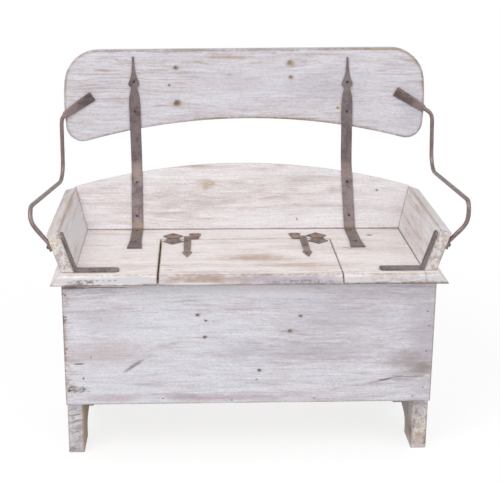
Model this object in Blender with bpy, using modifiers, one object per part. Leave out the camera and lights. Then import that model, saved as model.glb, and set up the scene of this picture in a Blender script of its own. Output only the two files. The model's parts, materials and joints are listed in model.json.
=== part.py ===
"""Storage bench in whitewashed pine and forged iron.

A planked chest stands on two arched foot boards. Its seat board has a lid sawn out of it, hung on
two butterfly hinges and two arrow hinges. Splayed arm boards and a raked back panel stand on the
seat. Two forged straps with spear points carry a shaped backrest board, and two forged rods run
from the backrest to the arm boards.

Metres, +Z up, the front faces -Y. Left and right are those of someone who looks at the front,
so +X is right. While the pieces are made, y = 0 is the front face of the chest. At the end
everything is hung on an empty that puts the origin under the middle of the bench, on the floor.
"""
import math

import bmesh
import bpy
import numpy as np
from mathutils import Matrix, Vector

# Fits
GAP = 0.0003
WELD = 0.00002
OVERRUN = 0.006
STATION_SPACING = 0.001

# Boards of the chest
CHEST_WIDTH = 0.850
CHEST_DEPTH = 0.390
CHEST_HEIGHT = 0.2975
CHEST_BOARD = 0.020
ARRIS = 0.0015
ROUGH_ARRIS = 0.0030

# Arched boards under the ends of the chest
FOOT_HEIGHT = 0.132
FOOT_THICK = 0.037
FOOT_SETBACK = 0.020
FOOT_TREAD = 0.088
ARCH_CORNER_RADIUS = 0.026
ARCH_RISE = 0.055
ARCH_CROWN_RADIUS = 0.240

# Seat board, and the lid sawn out of it
SEAT_THICK = 0.020
SEAT_SIDE_OVERHANG = 0.0225
SEAT_FRONT_OVERHANG = 0.0240
SEAT_BACK_OVERHANG = 0.010
SEAT_SLOPE_RUN = 0.018
SEAT_EDGE_LIP = 0.002
LID_OPENING_WIDTH = 0.421
LID_LEFT_GAP = 0.0045
LID_RIGHT_GAP = 0.0018
LID_REAR_GAP = 0.0018

# Splayed arm boards
ARM_BASE_SPAN = 0.793
ARM_SPLAY = math.radians(18.2)
ARM_THICK = 0.028
ARM_HEIGHT = 0.103
ARM_FRONT_DEPTH = 0.011
ARM_TOP_REAR_RADIUS = 0.012

# Raked back panel with a curved top edge
PANEL_BEFORE_CHEST_BACK = 0.029
PANEL_DEPTH = CHEST_DEPTH - PANEL_BEFORE_CHEST_BACK
HINGE_BEFORE_PANEL = 0.087
HINGE_LINE_DEPTH = PANEL_DEPTH - HINGE_BEFORE_PANEL
PANEL_RAKE = math.radians(29.6)
PANEL_THICK = 0.020
PANEL_MID_HEIGHT = 0.177
PANEL_END_HEIGHT = 0.117

# Hidden rails: bearers under the opening's sides, battens under the lid
BEARER_WIDTH = 0.040
BEARER_THICK = 0.020
BATTEN_WIDTH = 0.040
BATTEN_THICK = 0.018
BATTEN_SPACING = 0.280
BATTEN_REAR_MARGIN = 0.028
BATTEN_FRONT_CLEAR = 0.026
BATTEN_LENGTH = HINGE_LINE_DEPTH - BATTEN_REAR_MARGIN - CHEST_BOARD - BATTEN_FRONT_CLEAR

# Backrest board
BACKREST_BEHIND_CHEST = 0.059
BACKREST_DEPTH = CHEST_DEPTH + BACKREST_BEHIND_CHEST
BACKREST_THICK = 0.022
BACKREST_WIDTH = 0.917
BACKREST_TOP = 0.896
BACKREST_MID_HEIGHT = 0.1765
BACKREST_SHIFT = 0.0038
BACKREST_TILT = math.radians(0.6)
BACKREST_TOP_RADIUS = 0.087
BACKREST_LOW_RADIUS = 0.041
BACKREST_HOLLOW_RADIUS = 1.550
BACKREST_SIDE_RADIUS = 0.550
BACKREST_WAIST_BELOW_TOP = 0.140

# Forged straps behind the sitter
STRAP_SPACING = 0.540
STRAP_LEAN = 0.0075
STRAP_WIDTH = 0.028
STRAP_THICK = 0.004
BAR_CHAMFER = 0.0006
STRAP_FOOT_LENGTH = 0.164
STRAP_FOOT_WIDTH = 0.036
STRAP_FOOT_FLARE = 0.060
STRAP_TIP_BELOW_TOP = 0.020
STRAP_HEEL_RADIUS = 0.010
STRAP_KNEE_RADIUS = 0.060
SPEAR_LENGTH = 0.120
SPEAR_REACH_SHARES = (0.0, 0.17, 0.33, 0.43, 0.52, 0.565, 0.605, 0.64, 0.67, 0.73, 0.83, 1.0)
SPEAR_WIDTH_SHARES = (0.15, 0.20, 0.34, 0.57, 0.86, 1.0, 0.90, 0.54, 0.52, 0.71, 0.89, 1.0)

# Forged rods at the arms
ROD_RADIUS = 0.005
ROD_SIDES = 10
SQUARE_DEPTH = 0.65
PALM_LENGTH = 0.090
PALM_WIDTH = 0.025
PALM_THICK = 0.0045
PALM_SLOPE = math.radians(32.0)
PALM_SLOPE_UNEVEN = math.radians(1.6)
PALM_INSET = 0.074
PALM_BELOW_TOP = 0.1127
PALM_UNEVEN = 0.0064
PALM_REACH_SHARES = (0.0, 0.03, 0.40, 0.75, 0.93, 1.0)
PALM_WIDTH_SHARES = (0.88, 1.0, 0.86, 0.66, 0.50, 0.0)
PALM_ROUND_SHARES = (0.0, 0.0, 0.0, 0.10, 0.50, 1.0)
ROD_SIDE_CLEAR = 0.0144
ROD_SHIFT = 0.0122
ROD_HIP_OUTSET = 0.0027
ROD_HIP_SHIFT = 0.014
ROD_HIP_ABOVE_SEAT = 0.1242
ROD_HIP_UNEVEN = 0.0117
ROD_ELBOW_CLEAR = 0.038
ROD_ELBOW_DEPTH = 0.039
ROD_ELBOW_DEPTH_UNEVEN = 0.017
ROD_ELBOW_ABOVE_SEAT = 0.1515
ROD_ELBOW_UNEVEN = 0.0087
ROD_BOW_ABOVE_SEAT = 0.1144
ROD_BOW_INSET = 0.003
ROD_SHOULDER_RADIUS = 0.018
ROD_HIP_RADIUS = 0.034
ROD_ELBOW_RADIUS = 0.016
ROD_BOW_RADIUS = 0.040
ROD_ANKLE_RADIUS = 0.012
ROD_BENDS = (ROD_SHOULDER_RADIUS, ROD_HIP_RADIUS, ROD_ELBOW_RADIUS, ROD_BOW_RADIUS, ROD_ANKLE_RADIUS)
LAP_LENGTH = 0.018
LAP_WIDTH = 0.014
LAP_THICK = 0.007
LAP_FRONT_INSET = 0.012
LAP_BELOW_ARM_TOP = 0.023
LAP_REACH_SHARES = (0.0, 0.15, 1.0, 1.6, 2.4)
LAP_FLAT_SHARES = (1.0, 1.0, 1.0, 0.45, 0.0)

# Angle irons between the seat and the arm boards
CORNER_WIDTH = 0.028
CORNER_THICK = 0.004
CORNER_SEAT_LEG = 0.098
CORNER_ARM_LEG = 0.092
CORNER_FRONT_INSET = 0.001
CORNER_BEND_RADIUS = 0.005
CORNER_BEND_STEP = math.radians(20)
CORNER_END_ROUND = 0.007
CORNER_END_SHARES = (0.0, 0.3, 1.0)
CORNER_END_WIDTH_SHARES = (0.55, 0.80, 1.0)

# Hinges of the lid
LEAF_THICK = 0.0025
BARREL_RADIUS = 0.0040
BARREL_LIFT = 0.0001
PIN_RADIUS = 0.0016
PIN_FIT = 0.0003
PIN_PROUD = 0.0015
PIN_NOSE_SHARE = 0.6
BARREL_SIDES = 12
KNUCKLE_ROOT = 0.0026
TONGUE_INSET = 0.0003
KNUCKLE_GAP = 0.0004
LEAF_BACKOFF = 0.0008
BUTTERFLY_PLACE = 0.1785
BUTTERFLY_WIDTH = 0.049
BUTTERFLY_REACH = 0.046
BUTTERFLY_BARREL = 0.030
BUTTERFLY_WIDTH_SHARES = (0.63, 0.78, 0.97, 1.0, 0.66, 0.36, 0.0)
BUTTERFLY_REACH_SHARES = (0.14, 0.28, 0.40, 0.46, 0.64, 0.80, 1.0)
DOVETAIL_PLACE = 0.1245
DOVETAIL_WIDTH = 0.030
DOVETAIL_WAIST = 0.0165
DOVETAIL_REACH = 0.044
DOVETAIL_CLIP = 0.005
ARROW_PLACE = 0.1435
ARROW_WIDTH = 0.0185
ARROW_NECK_WIDTH = 0.0155
ARROW_HEAD_WIDTH = 0.023
ARROW_HEAD_LENGTH = 0.044
ARROW_BARB_SLOPE = 0.006
ARROW_REACH = 0.152

# Coach screws that hold the rods to the arm boards
COACH_HEAD_RADIUS = 0.0050
COACH_HEAD_HEIGHT = 0.0045
COACH_SHANK_RADIUS = 0.0024
COACH_GRIP = 0.020
COACH_PLACE_SHARE = 0.45
SCREW_SIDES = 12
DOME_SHARES = ((0.0, 1.0), (0.5, 0.86), (0.87, 0.5), (1.0, 0.0))

# Heights and lines that the pieces share
CHEST_BASE = FOOT_HEIGHT + GAP
CHEST_TOP = CHEST_BASE + CHEST_HEIGHT
SEAT_BASE = CHEST_TOP + GAP
SEAT_TOP = SEAT_BASE + SEAT_THICK
ON_SEAT = SEAT_TOP + GAP
CHEST_HALF = CHEST_WIDTH / 2
SEAT_HALF = CHEST_HALF + SEAT_SIDE_OVERHANG
SEAT_REAR = CHEST_DEPTH + SEAT_BACK_OVERHANG
OPENING_HALF = LID_OPENING_WIDTH / 2
BACKREST_REAR = BACKREST_DEPTH + BACKREST_THICK
HINGE_AXIS_HEIGHT = ON_SEAT + BARREL_RADIUS + BARREL_LIFT
DEPTH_MIDDLE = (BACKREST_REAR - SEAT_FRONT_OVERHANG) / 2
PANEL_NORMAL = Vector((0.0, -math.cos(PANEL_RAKE), math.sin(PANEL_RAKE)))
PANEL_UP = Vector((0.0, math.sin(PANEL_RAKE), math.cos(PANEL_RAKE)))
PANEL_BASE = Vector((0.0, PANEL_DEPTH, ON_SEAT))
SIDES = (("left", -1), ("right", 1))


# Scene, collections and materials

def clear_scene():
    """Remove whatever the file holds."""
    for old in list(bpy.data.objects):
        bpy.data.objects.remove(old, do_unlink=True)


def new_collection(name):
    """A collection linked to the scene."""
    group = bpy.data.collections.new(name)
    bpy.context.scene.collection.children.link(group)
    return group


def new_material(name, colour, roughness, metallic=0.0):
    """A Principled material of one colour."""
    mat = bpy.data.materials.new(name)
    mat.use_nodes = True
    shader = mat.node_tree.nodes["Principled BSDF"]
    shader.inputs["Base Color"].default_value = (*colour, 1.0)
    shader.inputs["Roughness"].default_value = roughness
    shader.inputs["Metallic"].default_value = metallic
    return mat


clear_scene()
PARTS = new_collection("storage_bench")
TOOLS = new_collection("cutters")

WHITEWASH = new_material("whitewashed_pine", (0.72, 0.69, 0.68), 0.85)
SEAT_WOOD = new_material("worn_seat_pine", (0.74, 0.69, 0.64), 0.80)
BARE_WOOD = new_material("bare_pine", (0.46, 0.34, 0.25), 0.80)
IRON = new_material("forged_iron", (0.20, 0.16, 0.155), 0.55, 0.85)
RUSTY_IRON = new_material("rusty_hinge_iron", (0.26, 0.20, 0.17), 0.60, 0.80)
SCREW_IRON = new_material("dark_screws", (0.07, 0.055, 0.05), 0.55, 0.85)


# Making and cutting solids

def add_object(name, mesh, mat=None, group=None):
    """Link a mesh as a part, or as a cutter when it has no material."""
    obj = bpy.data.objects.new(name, mesh)
    (group or PARTS).objects.link(obj)
    if mat:
        mesh.materials.append(mat)
    return obj


def add_tool(name, mesh):
    """Link a mesh that only shapes others."""
    obj = add_object(name, mesh, None, TOOLS)
    obj.hide_render = True
    obj.display_type = 'WIRE'
    return obj


def ease_edges(obj, width):
    """Take the sharp arris off every edge that turns a corner."""
    bevel = obj.modifiers.new("eased_edges", 'BEVEL')
    bevel.width = width
    bevel.segments = 2
    bevel.limit_method = 'ANGLE'
    bevel.angle_limit = math.radians(30)
    bevel.use_clamp_overlap = True


def box_mesh(name, size):
    """A box of the given size, centred on its origin."""
    bm = bmesh.new()
    bmesh.ops.create_cube(bm, size=1)
    bmesh.ops.scale(bm, vec=Vector(size), verts=bm.verts)
    mesh = bpy.data.meshes.new(name)
    bm.to_mesh(mesh)
    bm.free()
    return mesh


def board(name, low, high, mat, arris=ARRIS):
    """A sawn board between two corners, with eased edges."""
    low, high = Vector(low), Vector(high)
    obj = add_object(name, box_mesh(name, high - low), mat)
    obj.location = (low + high) / 2
    if arris:
        ease_edges(obj, arris)
    return obj


def box_tool(name, low, high):
    """A box-shaped cutter between two corners."""
    low, high = Vector(low), Vector(high)
    obj = add_tool(name, box_mesh(name, high - low))
    obj.location = (low + high) / 2
    return obj


def saw(obj, point, normal):
    """Saw off what lies on the normal's side of a plane, and close the cut."""
    to_local = obj.matrix_basis.inverted()
    local_point = to_local @ Vector(point)
    local_normal = to_local.to_3x3() @ Vector(normal)
    bm = bmesh.new()
    bm.from_mesh(obj.data)
    whole = bm.verts[:] + bm.edges[:] + bm.faces[:]
    bmesh.ops.bisect_plane(bm, geom=whole, dist=WELD, plane_co=local_point,
                           plane_no=local_normal, clear_outer=True)
    rim = [edge for edge in bm.edges if edge.is_boundary]
    bmesh.ops.holes_fill(bm, edges=rim)
    bmesh.ops.recalc_face_normals(bm, faces=bm.faces)
    bm.to_mesh(obj.data)
    bm.free()


def plate_mesh(name, outline, thick, holes=()):
    """A flat plate: a filled 2D curve, extruded both ways, with its caps welded on."""
    curve = bpy.data.curves.new(name, 'CURVE')
    curve.dimensions = '2D'
    curve.fill_mode = 'BOTH'
    curve.extrude = thick / 2
    for loop in (outline, *holes):
        spline = curve.splines.new('POLY')
        spline.points.add(len(loop) - 1)
        for point, (x, y) in zip(spline.points, loop):
            point.co = (x, y, 0.0, 1.0)
        spline.use_cyclic_u = True
    holder = bpy.data.objects.new(name, curve)
    PARTS.objects.link(holder)
    graph = bpy.context.evaluated_depsgraph_get()
    mesh = bpy.data.meshes.new_from_object(holder.evaluated_get(graph))
    bpy.data.objects.remove(holder, do_unlink=True)
    bm = bmesh.new()
    bm.from_mesh(mesh)
    bmesh.ops.remove_doubles(bm, verts=bm.verts, dist=WELD)
    flat = math.radians(1)
    bmesh.ops.dissolve_limit(bm, angle_limit=flat, verts=bm.verts, edges=bm.edges)
    bmesh.ops.recalc_face_normals(bm, faces=bm.faces)
    bm.to_mesh(mesh)
    bm.free()
    mesh.name = name
    return mesh


def loft_mesh(name, rings):
    """Skin a row of closed rings with quads, and close both ends.

    rings is an array of stations by points by 3. Unlike sections, such as a flat palm and a
    round rod, are joined point to point.
    """
    rings = np.asarray(rings, dtype=float)
    stations, sides = rings.shape[:2]
    faces = []
    for row in range(stations - 1):
        for col in range(sides):
            after = (col + 1) % sides
            faces.append((row * sides + col, row * sides + after,
                          (row + 1) * sides + after, (row + 1) * sides + col))
    faces.append(tuple(range(sides)))
    faces.append(tuple((stations - 1) * sides + col for col in range(sides)))
    mesh = bpy.data.meshes.new(name)
    mesh.from_pydata(rings.reshape(-1, 3).tolist(), [], faces)
    bm = bmesh.new()
    bm.from_mesh(mesh)
    bmesh.ops.recalc_face_normals(bm, faces=bm.faces)
    bm.to_mesh(mesh)
    bm.free()
    return mesh


def boolean(obj, tool, operation):
    """Cut or join with another solid."""
    mod = obj.modifiers.new(operation.lower() + "_" + tool.name, 'BOOLEAN')
    mod.operation = operation
    mod.object = tool
    mod.solver = 'EXACT'


def cut(obj, tool):
    """Take the tool's shape out of the piece."""
    boolean(obj, tool, 'DIFFERENCE')


def fuse(obj, tool):
    """Forge the tool's shape onto the piece."""
    boolean(obj, tool, 'UNION')


def round_shading(obj, angle=math.radians(35)):
    """Smooth shading with the true corners kept sharp."""
    obj.data.shade_smooth()
    obj.data.set_sharp_from_angle(angle=angle)


def stand(obj, origin, x_axis, y_axis):
    """Place a flat piece: its own X and Y turned to the given directions."""
    x_axis, y_axis = Vector(x_axis), Vector(y_axis)
    turn = Matrix((x_axis, y_axis, x_axis.cross(y_axis))).transposed()
    obj.matrix_basis = Matrix.Translation(Vector(origin)) @ turn.to_4x4()


# Outlines and paths

def arc_points(centre, radius, start, end, steps):
    """Points on an arc in a plane, both ends included."""
    angles = np.linspace(start, end, steps + 1)
    return [(centre[0] + radius * math.cos(a), centre[1] + radius * math.sin(a)) for a in angles]


def chord_radius(half_chord, rise):
    """Radius of the arc that rises by a given amount over a half chord."""
    return (half_chord ** 2 + rise ** 2) / (2 * rise)


def direction_angle(start, end):
    """Angle of the way from one point to another."""
    return math.atan2(end[1] - start[1], end[0] - start[0])


def circle_crossing(centre_a, radius_a, centre_b, radius_b):
    """The crossing of two circles on the right of the way from the first to the second."""
    dx, dy = centre_b[0] - centre_a[0], centre_b[1] - centre_a[1]
    apart = math.hypot(dx, dy)
    along = (radius_a ** 2 - radius_b ** 2 + apart ** 2) / (2 * apart)
    off = math.sqrt(radius_a ** 2 - along ** 2)
    return (centre_a[0] + (dx * along + dy * off) / apart,
            centre_a[1] + (dy * along - dx * off) / apart)


def mirrored_outline(right_half):
    """Close an outline from its right half, which runs from the middle line back to it."""
    left_half = [(-x, y) for x, y in reversed(right_half) if x > WELD]
    return list(right_half) + left_half


def filleted_path(corners, radii, bend_step=math.radians(9)):
    """A bent bar's centre line: straight runs, with a true arc at each inner corner.

    corners is a list of 3-D points and radii has one bend radius for each inner corner.
    """
    corners = [np.array(c, dtype=float) for c in corners]
    points = [corners[0]]
    for before, corner, after, radius in zip(corners, corners[1:], corners[2:], radii):
        come = (corner - before) / np.linalg.norm(corner - before)
        leave = (after - corner) / np.linalg.norm(after - corner)
        turn = math.acos(float(np.clip(come @ leave, -1.0, 1.0)))
        tangent = radius * math.tan(turn / 2)
        start = corner - come * tangent
        inward = leave - come * (come @ leave)
        inward = inward / np.linalg.norm(inward)
        centre = start + inward * radius
        steps = max(2, math.ceil(turn / bend_step))
        for a in np.linspace(0.0, turn, steps + 1):
            points.append(centre - inward * radius * math.cos(a) + come * radius * math.sin(a))
    points.append(corners[-1])
    return np.array(points)


def path_lengths(points):
    """Distance along a path to each of its points."""
    return np.concatenate([[0.0], np.cumsum(np.linalg.norm(np.diff(points, axis=0), axis=1))])


def resample(points, stations):
    """The path's own points with more added at the given distances along it."""
    along = path_lengths(points)
    extra = [s for s in stations if np.min(np.abs(along - s)) > STATION_SPACING and s < along[-1]]
    every = np.sort(np.concatenate([along, extra]))
    merged = np.stack([np.interp(every, along, points[:, k]) for k in range(3)], axis=1)
    return merged, every


def path_tangents(points):
    """Unit tangent at each point of a path."""
    steps = np.diff(points, axis=0)
    steps = steps / np.linalg.norm(steps, axis=1)[:, None]
    tangents = np.vstack([steps[:1], steps[:-1] + steps[1:], steps[-1:]])
    return tangents / np.linalg.norm(tangents, axis=1)[:, None]


def path_frames(points, first_normal):
    """Tangent, normal and side at each point, the normal carried along without twist."""
    tangents = path_tangents(points)
    normals = np.zeros_like(points)
    normal = np.array(first_normal, dtype=float)
    for k, tangent in enumerate(tangents):
        normal = normal - tangent * (normal @ tangent)
        normal = normal / np.linalg.norm(normal)
        normals[k] = normal
    return tangents, normals, np.cross(tangents, normals)


def untwisted(tangents, normals, last_normal, share_done):
    """Turn the sections gradually, so that the last one faces the way it must."""
    tangent, normal = tangents[-1], normals[-1]
    wanted = np.array(last_normal, dtype=float)
    wanted = wanted - tangent * (wanted @ tangent)
    twist = math.atan2(float(np.cross(normal, wanted) @ tangent), float(normal @ wanted))
    angles = (twist * share_done)[:, None]
    turned = normals * np.cos(angles) + np.cross(tangents, normals) * np.sin(angles)
    return turned, np.cross(tangents, turned)


def mitre_stretch(points):
    """How much longer a section is at each bend point, so that a bar keeps its thickness."""
    steps = np.diff(points, axis=0)
    steps = steps / np.linalg.norm(steps, axis=1)[:, None]
    turn = np.einsum('ij,ij->i', steps[:-1], steps[1:])
    half = np.sqrt((1.0 + np.clip(turn, -1.0, 1.0)) / 2)
    return np.concatenate([[1.0], 1.0 / half, [1.0]])


def flat_bar_rings(points, width_axis, widths, thick):
    """Sections of a flat bar with broken corners, one at each point of its path."""
    tangents = path_tangents(points)
    wide = np.array(width_axis, dtype=float)
    sides = wide - tangents * (tangents @ wide)[:, None]
    sides = sides / np.linalg.norm(sides, axis=1)[:, None]
    normals = np.cross(sides, tangents)
    half_thick = thick / 2 * mitre_stretch(points)
    half_width = np.asarray(widths) / 2
    broken = np.minimum(BAR_CHAMFER, half_width / 2)
    corners = ((1, -1, 1, 0), (1, 1, 1, 0), (1, 1, 0, 1), (-1, 1, 0, 1),
               (-1, 1, 1, 0), (-1, -1, 1, 0), (-1, -1, 0, 1), (1, -1, 0, 1))
    rings = []
    for across, through, from_face, from_edge in corners:
        reach = across * (half_width - from_edge * broken)
        lift = through * (half_thick - from_face * broken)
        rings.append(points + sides * reach[:, None] + normals * lift[:, None])
    return np.stack(rings, axis=1)


def forged_rings(points, normals, sides, half_widths, half_thicks, squareness):
    """Sections that pass from flat to round and back, one at each point of a path.

    Each section is a superellipse: squareness 0 gives an ellipse and 1 nearly a rectangle.
    """
    angles = np.linspace(0.0, 2 * math.pi, ROD_SIDES, endpoint=False) + math.pi / ROD_SIDES
    power = 1.0 - SQUARE_DEPTH * squareness[:, None]
    across = np.sign(np.cos(angles)) * np.abs(np.cos(angles)) ** power
    through = np.sign(np.sin(angles)) * np.abs(np.sin(angles)) ** power
    reach = across * half_widths[:, None]
    lift = through * half_thicks[:, None]
    return (points[:, None, :] + sides[:, None, :] * reach[:, :, None]
            + normals[:, None, :] * lift[:, :, None])


def corner_point(point_a, along_a, point_b, along_b):
    """Where two lines in one plane meet."""
    a, da = np.array(point_a, dtype=float), np.array(along_a, dtype=float)
    b, db = np.array(point_b, dtype=float), np.array(along_b, dtype=float)
    shares = np.linalg.lstsq(np.stack([da, -db], axis=1), b - a, rcond=None)[0]
    return a + da * shares[0]


# Turned pieces and their holes

def lathe_mesh(name, profile, sides):
    """Turn a profile, listed from top to bottom at +X, round the Z axis."""
    mesh = bpy.data.meshes.new(name)
    edges = [(k, k + 1) for k in range(len(profile) - 1)]
    mesh.from_pydata([(x, 0.0, z) for x, z in profile], edges, [])
    holder = bpy.data.objects.new(name, mesh)
    PARTS.objects.link(holder)
    turn = holder.modifiers.new("turn", 'SCREW')
    turn.axis = 'Z'
    turn.angle = 2 * math.pi
    turn.steps = sides
    turn.render_steps = sides
    turn.use_merge_vertices = True
    turn.merge_threshold = WELD
    turn.use_smooth_shade = False
    graph = bpy.context.evaluated_depsgraph_get()
    turned = bpy.data.meshes.new_from_object(holder.evaluated_get(graph))
    bpy.data.objects.remove(holder, do_unlink=True)
    bm = bmesh.new()
    bm.from_mesh(turned)
    bmesh.ops.remove_doubles(bm, verts=bm.verts, dist=WELD)
    bmesh.ops.recalc_face_normals(bm, faces=bm.faces)
    bm.to_mesh(turned)
    bm.free()
    return turned


def aimed(point, direction):
    """A placement at a point with local Z turned to a direction."""
    turn = Vector(direction).normalized().to_track_quat('Z', 'Y')
    return Matrix.Translation(Vector(point)) @ turn.to_matrix().to_4x4()


def make_coach_screw(side, point, direction, pieces):
    """A dome-headed coach screw, its head seated on a face, and its clearance hole."""
    name = "rod_coach_screw_" + side
    dome = [(COACH_HEAD_RADIUS * x, GAP + COACH_HEAD_HEIGHT * z) for x, z in DOME_SHARES]
    shank = [(COACH_SHANK_RADIUS, GAP), (COACH_SHANK_RADIUS, -COACH_GRIP), (0.0, -COACH_GRIP)]
    screw = add_object(name, lathe_mesh(name, dome + shank, SCREW_SIDES), SCREW_IRON)
    screw.matrix_basis = aimed(point, direction)
    round_shading(screw)
    radius = COACH_SHANK_RADIUS + GAP
    deep = COACH_GRIP + GAP
    hole = [(0.0, OVERRUN), (radius, OVERRUN), (radius, -deep), (0.0, -deep)]
    drill = add_tool(name + "_hole", lathe_mesh(name + "_hole", hole, SCREW_SIDES))
    drill.matrix_basis = aimed(point, direction)
    for piece in pieces:
        cut(piece, drill)


# Chest and feet

def make_chest():
    """Five boards nailed into a box, open at the top."""
    outer, inner = CHEST_DEPTH, CHEST_DEPTH - CHEST_BOARD
    board("chest_front", (-CHEST_HALF, 0, CHEST_BASE), (CHEST_HALF, CHEST_BOARD, CHEST_TOP),
          WHITEWASH)
    board("chest_back", (-CHEST_HALF, inner, CHEST_BASE), (CHEST_HALF, outer, CHEST_TOP), BARE_WOOD)
    for side, sign in SIDES:
        across = sorted((sign * CHEST_HALF, sign * (CHEST_HALF - CHEST_BOARD)))
        board("chest_end_" + side, (across[0], CHEST_BOARD + GAP, CHEST_BASE),
              (across[1], inner - GAP, CHEST_TOP), WHITEWASH)
    reach = CHEST_HALF - CHEST_BOARD - GAP
    board("chest_floor", (-reach, CHEST_BOARD + GAP, CHEST_BASE),
          (reach, inner - GAP, CHEST_BASE + CHEST_BOARD), BARE_WOOD)


def foot_outline():
    """Side view of a foot board: a plank with an arch cut from its lower edge."""
    half_long = CHEST_DEPTH / 2 - FOOT_SETBACK
    half_arch = half_long - FOOT_TREAD
    corner_x = half_arch - ARCH_CORNER_RADIUS
    crown_z = ARCH_RISE - ARCH_CROWN_RADIUS
    corner_z = crown_z + math.sqrt((ARCH_CROWN_RADIUS - ARCH_CORNER_RADIUS) ** 2 - corner_x ** 2)
    meet = math.atan2(corner_z - crown_z, corner_x)
    crown = arc_points((0.0, crown_z), ARCH_CROWN_RADIUS, math.pi / 2, meet, 5)
    corner = arc_points((corner_x, corner_z), ARCH_CORNER_RADIUS, meet, 0.0, 6)
    foot = [(half_arch, 0.0), (half_long, 0.0), (half_long, FOOT_HEIGHT)]
    return mirrored_outline(crown + corner[1:] + foot)


def make_feet():
    """Two thick planks on edge, one under each end of the chest."""
    for side, sign in SIDES:
        name = "foot_board_" + side
        foot = add_object(name, plate_mesh(name, foot_outline(), FOOT_THICK), WHITEWASH)
        middle = (sign * (CHEST_HALF - FOOT_THICK / 2), CHEST_DEPTH / 2, 0.0)
        stand(foot, middle, (0, 1, 0), (0, 0, 1))
        ease_edges(foot, ROUGH_ARRIS)


# Seat and lid

def slope_edge(piece, edge_x, edge_y, outward):
    """Plane one edge of the seat to its slope: outward is the way the edge faces."""
    outward = Vector(outward)
    rise = SEAT_THICK - SEAT_EDGE_LIP
    normal = outward * rise + Vector((0, 0, SEAT_SLOPE_RUN))
    saw(piece, (edge_x, edge_y, SEAT_BASE + SEAT_EDGE_LIP), normal)


def make_seat():
    """The seat board with its three sloped edges and the lid's opening."""
    seat = board("seat_board", (-SEAT_HALF, -SEAT_FRONT_OVERHANG, SEAT_BASE),
                 (SEAT_HALF, SEAT_REAR, SEAT_TOP), SEAT_WOOD, 0)
    slope_edge(seat, 0, -SEAT_FRONT_OVERHANG, (0, -1, 0))
    slope_edge(seat, -SEAT_HALF, 0, (-1, 0, 0))
    slope_edge(seat, SEAT_HALF, 0, (1, 0, 0))
    ease_edges(seat, ARRIS)
    cut(seat, box_tool("lid_opening",
                       (-OPENING_HALF, -SEAT_FRONT_OVERHANG - OVERRUN, SEAT_BASE - OVERRUN),
                       (OPENING_HALF, HINGE_LINE_DEPTH + LID_REAR_GAP / 2, SEAT_TOP + OVERRUN)))
    for side, sign in SIDES:
        middle = sign * OPENING_HALF
        board("seat_bearer_" + side,
              (middle - BEARER_WIDTH / 2, CHEST_BOARD + GAP, SEAT_BASE - GAP - BEARER_THICK),
              (middle + BEARER_WIDTH / 2, CHEST_DEPTH - CHEST_BOARD - GAP, SEAT_BASE - GAP), BARE_WOOD)


def make_lid():
    """The sawn-out lid and the two battens under it."""
    rear = HINGE_LINE_DEPTH - LID_REAR_GAP / 2
    lid = board("lid_board", (-OPENING_HALF + LID_LEFT_GAP, -SEAT_FRONT_OVERHANG, SEAT_BASE),
                (OPENING_HALF - LID_RIGHT_GAP, rear, SEAT_TOP), SEAT_WOOD, 0)
    slope_edge(lid, 0, -SEAT_FRONT_OVERHANG, (0, -1, 0))
    ease_edges(lid, ARRIS / 2)
    pieces = [lid]
    far = rear - BATTEN_REAR_MARGIN
    for side, sign in SIDES:
        middle = sign * BATTEN_SPACING / 2
        low = (middle - BATTEN_WIDTH / 2, far - BATTEN_LENGTH, SEAT_BASE - GAP - BATTEN_THICK)
        high = (middle + BATTEN_WIDTH / 2, far, SEAT_BASE - GAP)
        pieces.append(board("lid_batten_" + side, low, high, BARE_WOOD))
    return pieces


# Arm boards, back panel and backrest

def arm_up(sign):
    """The direction up an arm board's slope."""
    return Vector((sign * math.sin(ARM_SPLAY), 0.0, math.cos(ARM_SPLAY)))


def arm_out(sign):
    """The direction out of an arm board's outer face."""
    return Vector((sign * math.cos(ARM_SPLAY), 0.0, -math.sin(ARM_SPLAY)))


def arm_base(sign):
    """The point where an arm board's inner face meets the seat."""
    return Vector((sign * ARM_BASE_SPAN / 2, 0.0, ON_SEAT))


def arm_outline():
    """Side view of an arm board in its own plane: its rear end leans back with the panel."""
    lean = math.atan(math.cos(ARM_SPLAY) * math.tan(PANEL_RAKE))
    rear = PANEL_DEPTH + PANEL_THICK / math.cos(PANEL_RAKE)
    low = -ARM_THICK * math.tan(ARM_SPLAY) - OVERRUN
    turn = math.pi / 2 + lean
    inset = ARM_TOP_REAR_RADIUS * math.tan(turn / 2)
    centre = (rear + ARM_HEIGHT * math.tan(lean) - inset, ARM_HEIGHT - ARM_TOP_REAR_RADIUS)
    rounded = arc_points(centre, ARM_TOP_REAR_RADIUS, -lean, math.pi / 2, 5)
    foot = [(ARM_FRONT_DEPTH, low), (rear + low * math.tan(lean), low)]
    return foot + rounded + [(ARM_FRONT_DEPTH, ARM_HEIGHT)]


def make_arms():
    """Two splayed boards at the ends of the seat."""
    arms = {}
    for side, sign in SIDES:
        name = "arm_board_" + side
        arm = add_object(name, plate_mesh(name, arm_outline(), ARM_THICK), WHITEWASH)
        middle = arm_base(sign) + arm_out(sign) * ARM_THICK / 2
        stand(arm, middle, (0, 1, 0), arm_up(sign))
        saw(arm, (0, 0, ON_SEAT), (0, 0, -1))
        ease_edges(arm, ARRIS)
        arms[side] = arm
    return arms


def panel_arc_height(x):
    """In-plane height of the back panel's curved top edge at a given place across it."""
    half = CHEST_HALF
    radius = chord_radius(half, PANEL_MID_HEIGHT - PANEL_END_HEIGHT)
    return PANEL_MID_HEIGHT - radius + math.sqrt(radius ** 2 - x ** 2)


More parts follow.
